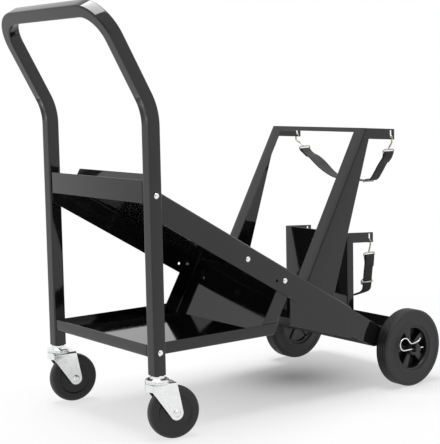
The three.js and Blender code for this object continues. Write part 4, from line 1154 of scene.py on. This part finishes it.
studio = dict(floorHalf=30, floorTone=0.86, floorRough=0.9, floorGloss=0.1, shadeCentre=(0.2, 0.03, 0),
              shadeReach=1.2, shadeBend=0.6, shadeLow=0.3, coreDepth=0.5, coreReach=0.11, skyLight=0.42,
              darkSide=(-0.52, -0.85, 0.05), darkEdge=(0.72, 0.95), darkLevel=0.3, keyPower=80,
              keySize=(1.2, 2.2), keyPlace=(-0.2, 0.25, 2.9))


# 1 for the rays that see the background: the camera's, mirrored ones and those let through
def seenRays(tree):
    rays = tree.nodes.new("ShaderNodeLightPath")
    seen = mathNode(tree, "MAXIMUM", rays.outputs["Is Camera Ray"], rays.outputs["Is Glossy Ray"])
    return rays, mathNode(tree, "MAXIMUM", seen, rays.outputs["Is Transmission Ray"])


# floor: its own light grows from the middle of the cart's shadow as a power of the distance, less a bell
# curve at the middle
def makeFloor(look):
    half = look["floorHalf"]
    mesh = bpy.data.meshes.new("floor")
    corners = [(-half, -half, 0), (half, -half, 0), (half, half, 0), (-half, half, 0)]
    mesh.from_pydata(corners, [], [(0, 1, 2, 3)])
    floor = bpy.data.objects.new("floor", mesh)
    bpy.context.scene.collection.objects.link(floor)
    material = bpy.data.materials.new("pale floor")
    material.use_nodes = True
    tree = material.node_tree
    shader = tree.nodes["Principled BSDF"]
    tone = look["floorTone"]
    shader.inputs["Base Color"].default_value = (tone, tone, tone, 1)
    shader.inputs["Roughness"].default_value = look["floorRough"]
    shader.inputs["Specular IOR Level"].default_value = look["floorGloss"]
    white = tree.nodes.new("ShaderNodeEmission")
    _, seen = seenRays(tree)
    spot = tree.nodes.new("ShaderNodeNewGeometry")
    reach = tree.nodes.new("ShaderNodeVectorMath")
    reach.operation = "DISTANCE"
    reach.inputs[1].default_value = look["shadeCentre"]
    tree.links.new(spot.outputs["Position"], reach.inputs[0])
    far = mathNode(tree, "DIVIDE", reach.outputs["Value"], look["shadeReach"])
    far = mathNode(tree, "POWER", mathNode(tree, "MINIMUM", far, 1.0), look["shadeBend"])
    far = mathNode(tree, "MULTIPLY", far, 1 - look["shadeLow"])
    core = mathNode(tree, "DIVIDE", reach.outputs["Value"], look["coreReach"])
    core = mathNode(tree, "MULTIPLY", mathNode(tree, "POWER", core, 2.0), -1.0)
    core = mathNode(tree, "EXPONENT", core)
    kept = mathNode(tree, "SUBTRACT", 1.0, mathNode(tree, "MULTIPLY", core, look["coreDepth"]))
    share = mathNode(tree, "MULTIPLY", mathNode(tree, "ADD", far, look["shadeLow"]), kept)
    share = mathNode(tree, "MULTIPLY", seen, share)
    mix = tree.nodes.new("ShaderNodeMixShader")
    tree.links.new(share, mix.inputs[0])
    tree.links.new(shader.outputs[0], mix.inputs[1])
    tree.links.new(white.outputs[0], mix.inputs[2])
    tree.links.new(mix.outputs[0], tree.nodes["Material Output"].inputs["Surface"])
    mesh.materials.append(material)


# room: white to the camera, white in reflections and grey as light, the last two darker towards darkSide
def makeRoom(look):
    world = bpy.data.worlds.new("white studio")
    bpy.context.scene.world = world
    world.use_nodes = True
    tree = world.node_tree
    rays, seen = seenRays(tree)
    span = tree.nodes.new("ShaderNodeMapRange")
    span.inputs["To Min"].default_value = look["skyLight"]
    span.inputs["To Max"].default_value = 1
    tree.links.new(seen, span.inputs["Value"])
    way = tree.nodes.new("ShaderNodeTexCoord")
    facing = tree.nodes.new("ShaderNodeVectorMath")
    facing.operation = "DOT_PRODUCT"
    facing.inputs[1].default_value = look["darkSide"]
    tree.links.new(way.outputs["Generated"], facing.inputs[0])
    room = tree.nodes.new("ShaderNodeMapRange")
    room.interpolation_type = "SMOOTHSTEP"
    room.inputs["From Min"].default_value, room.inputs["From Max"].default_value = look["darkEdge"]
    room.inputs["To Min"].default_value = 1
    room.inputs["To Max"].default_value = look["darkLevel"]
    tree.links.new(facing.outputs["Value"], room.inputs["Value"])
    level = mathNode(tree, "MAXIMUM", room.outputs["Result"], rays.outputs["Is Camera Ray"])
    strength = mathNode(tree, "MULTIPLY", span.outputs["Result"], level)
    tree.links.new(strength, tree.nodes["Background"].inputs["Strength"])
    tree.nodes["Background"].inputs["Color"].default_value = (1, 1, 1, 1)


# one broad lamp above the cart
def makeLamp(look):
    light = bpy.data.lights.new("overhead softbox", "AREA")
    light.energy = look["keyPower"]
    light.shape = "RECTANGLE"
    light.size, light.size_y = look["keySize"]
    lamp = bpy.data.objects.new("overhead softbox", light)
    lamp.location = look["keyPlace"]
    bpy.context.scene.collection.objects.link(lamp)


makeFloor(studio)
makeRoom(studio)
makeLamp(studio)

photoCamera = dict(place=(-1238.18, -2045.13, 652.56), focal=1239.18, width=440, sensor=36, yaw=53.0414,
                   pitch=6.3292, roll=-1.1474, sight=100)


# the camera's axes from its yaw, its pitch down and its roll
def makeCamera(look):
    yaw, pitch, roll = (math.radians(look[key]) for key in ("yaw", "pitch", "roll"))
    flat = math.cos(pitch)
    ahead = np.array([math.cos(yaw) * flat, math.sin(yaw) * flat, -math.sin(pitch)])
    level = np.array([math.sin(yaw), -math.cos(yaw), 0])
    upright = np.cross(level, ahead)
    right = math.cos(roll) * level + math.sin(roll) * upright
    top = math.cos(roll) * upright - math.sin(roll) * level
    lens = bpy.data.cameras.new("photo camera")
    lens.sensor_fit = "HORIZONTAL"
    lens.sensor_width = look["sensor"]
    lens.lens = look["sensor"] * look["focal"] / look["width"]
    lens.clip_end = look["sight"]
    camera = bpy.data.objects.new("photo camera", lens)
    bpy.context.scene.collection.objects.link(camera)
    place = np.array(look["place"]) * millimetre + (startX, 0, 0)
    matrix = np.eye(4)
    matrix[:3, 0], matrix[:3, 1], matrix[:3, 2], matrix[:3, 3] = right, top, -ahead, place
    camera.matrix_world = Matrix(matrix.tolist())
    bpy.context.scene.camera = camera


makeCamera(photoCamera)
bpy.context.scene.view_settings.view_transform = "Standard"
print("studio made")
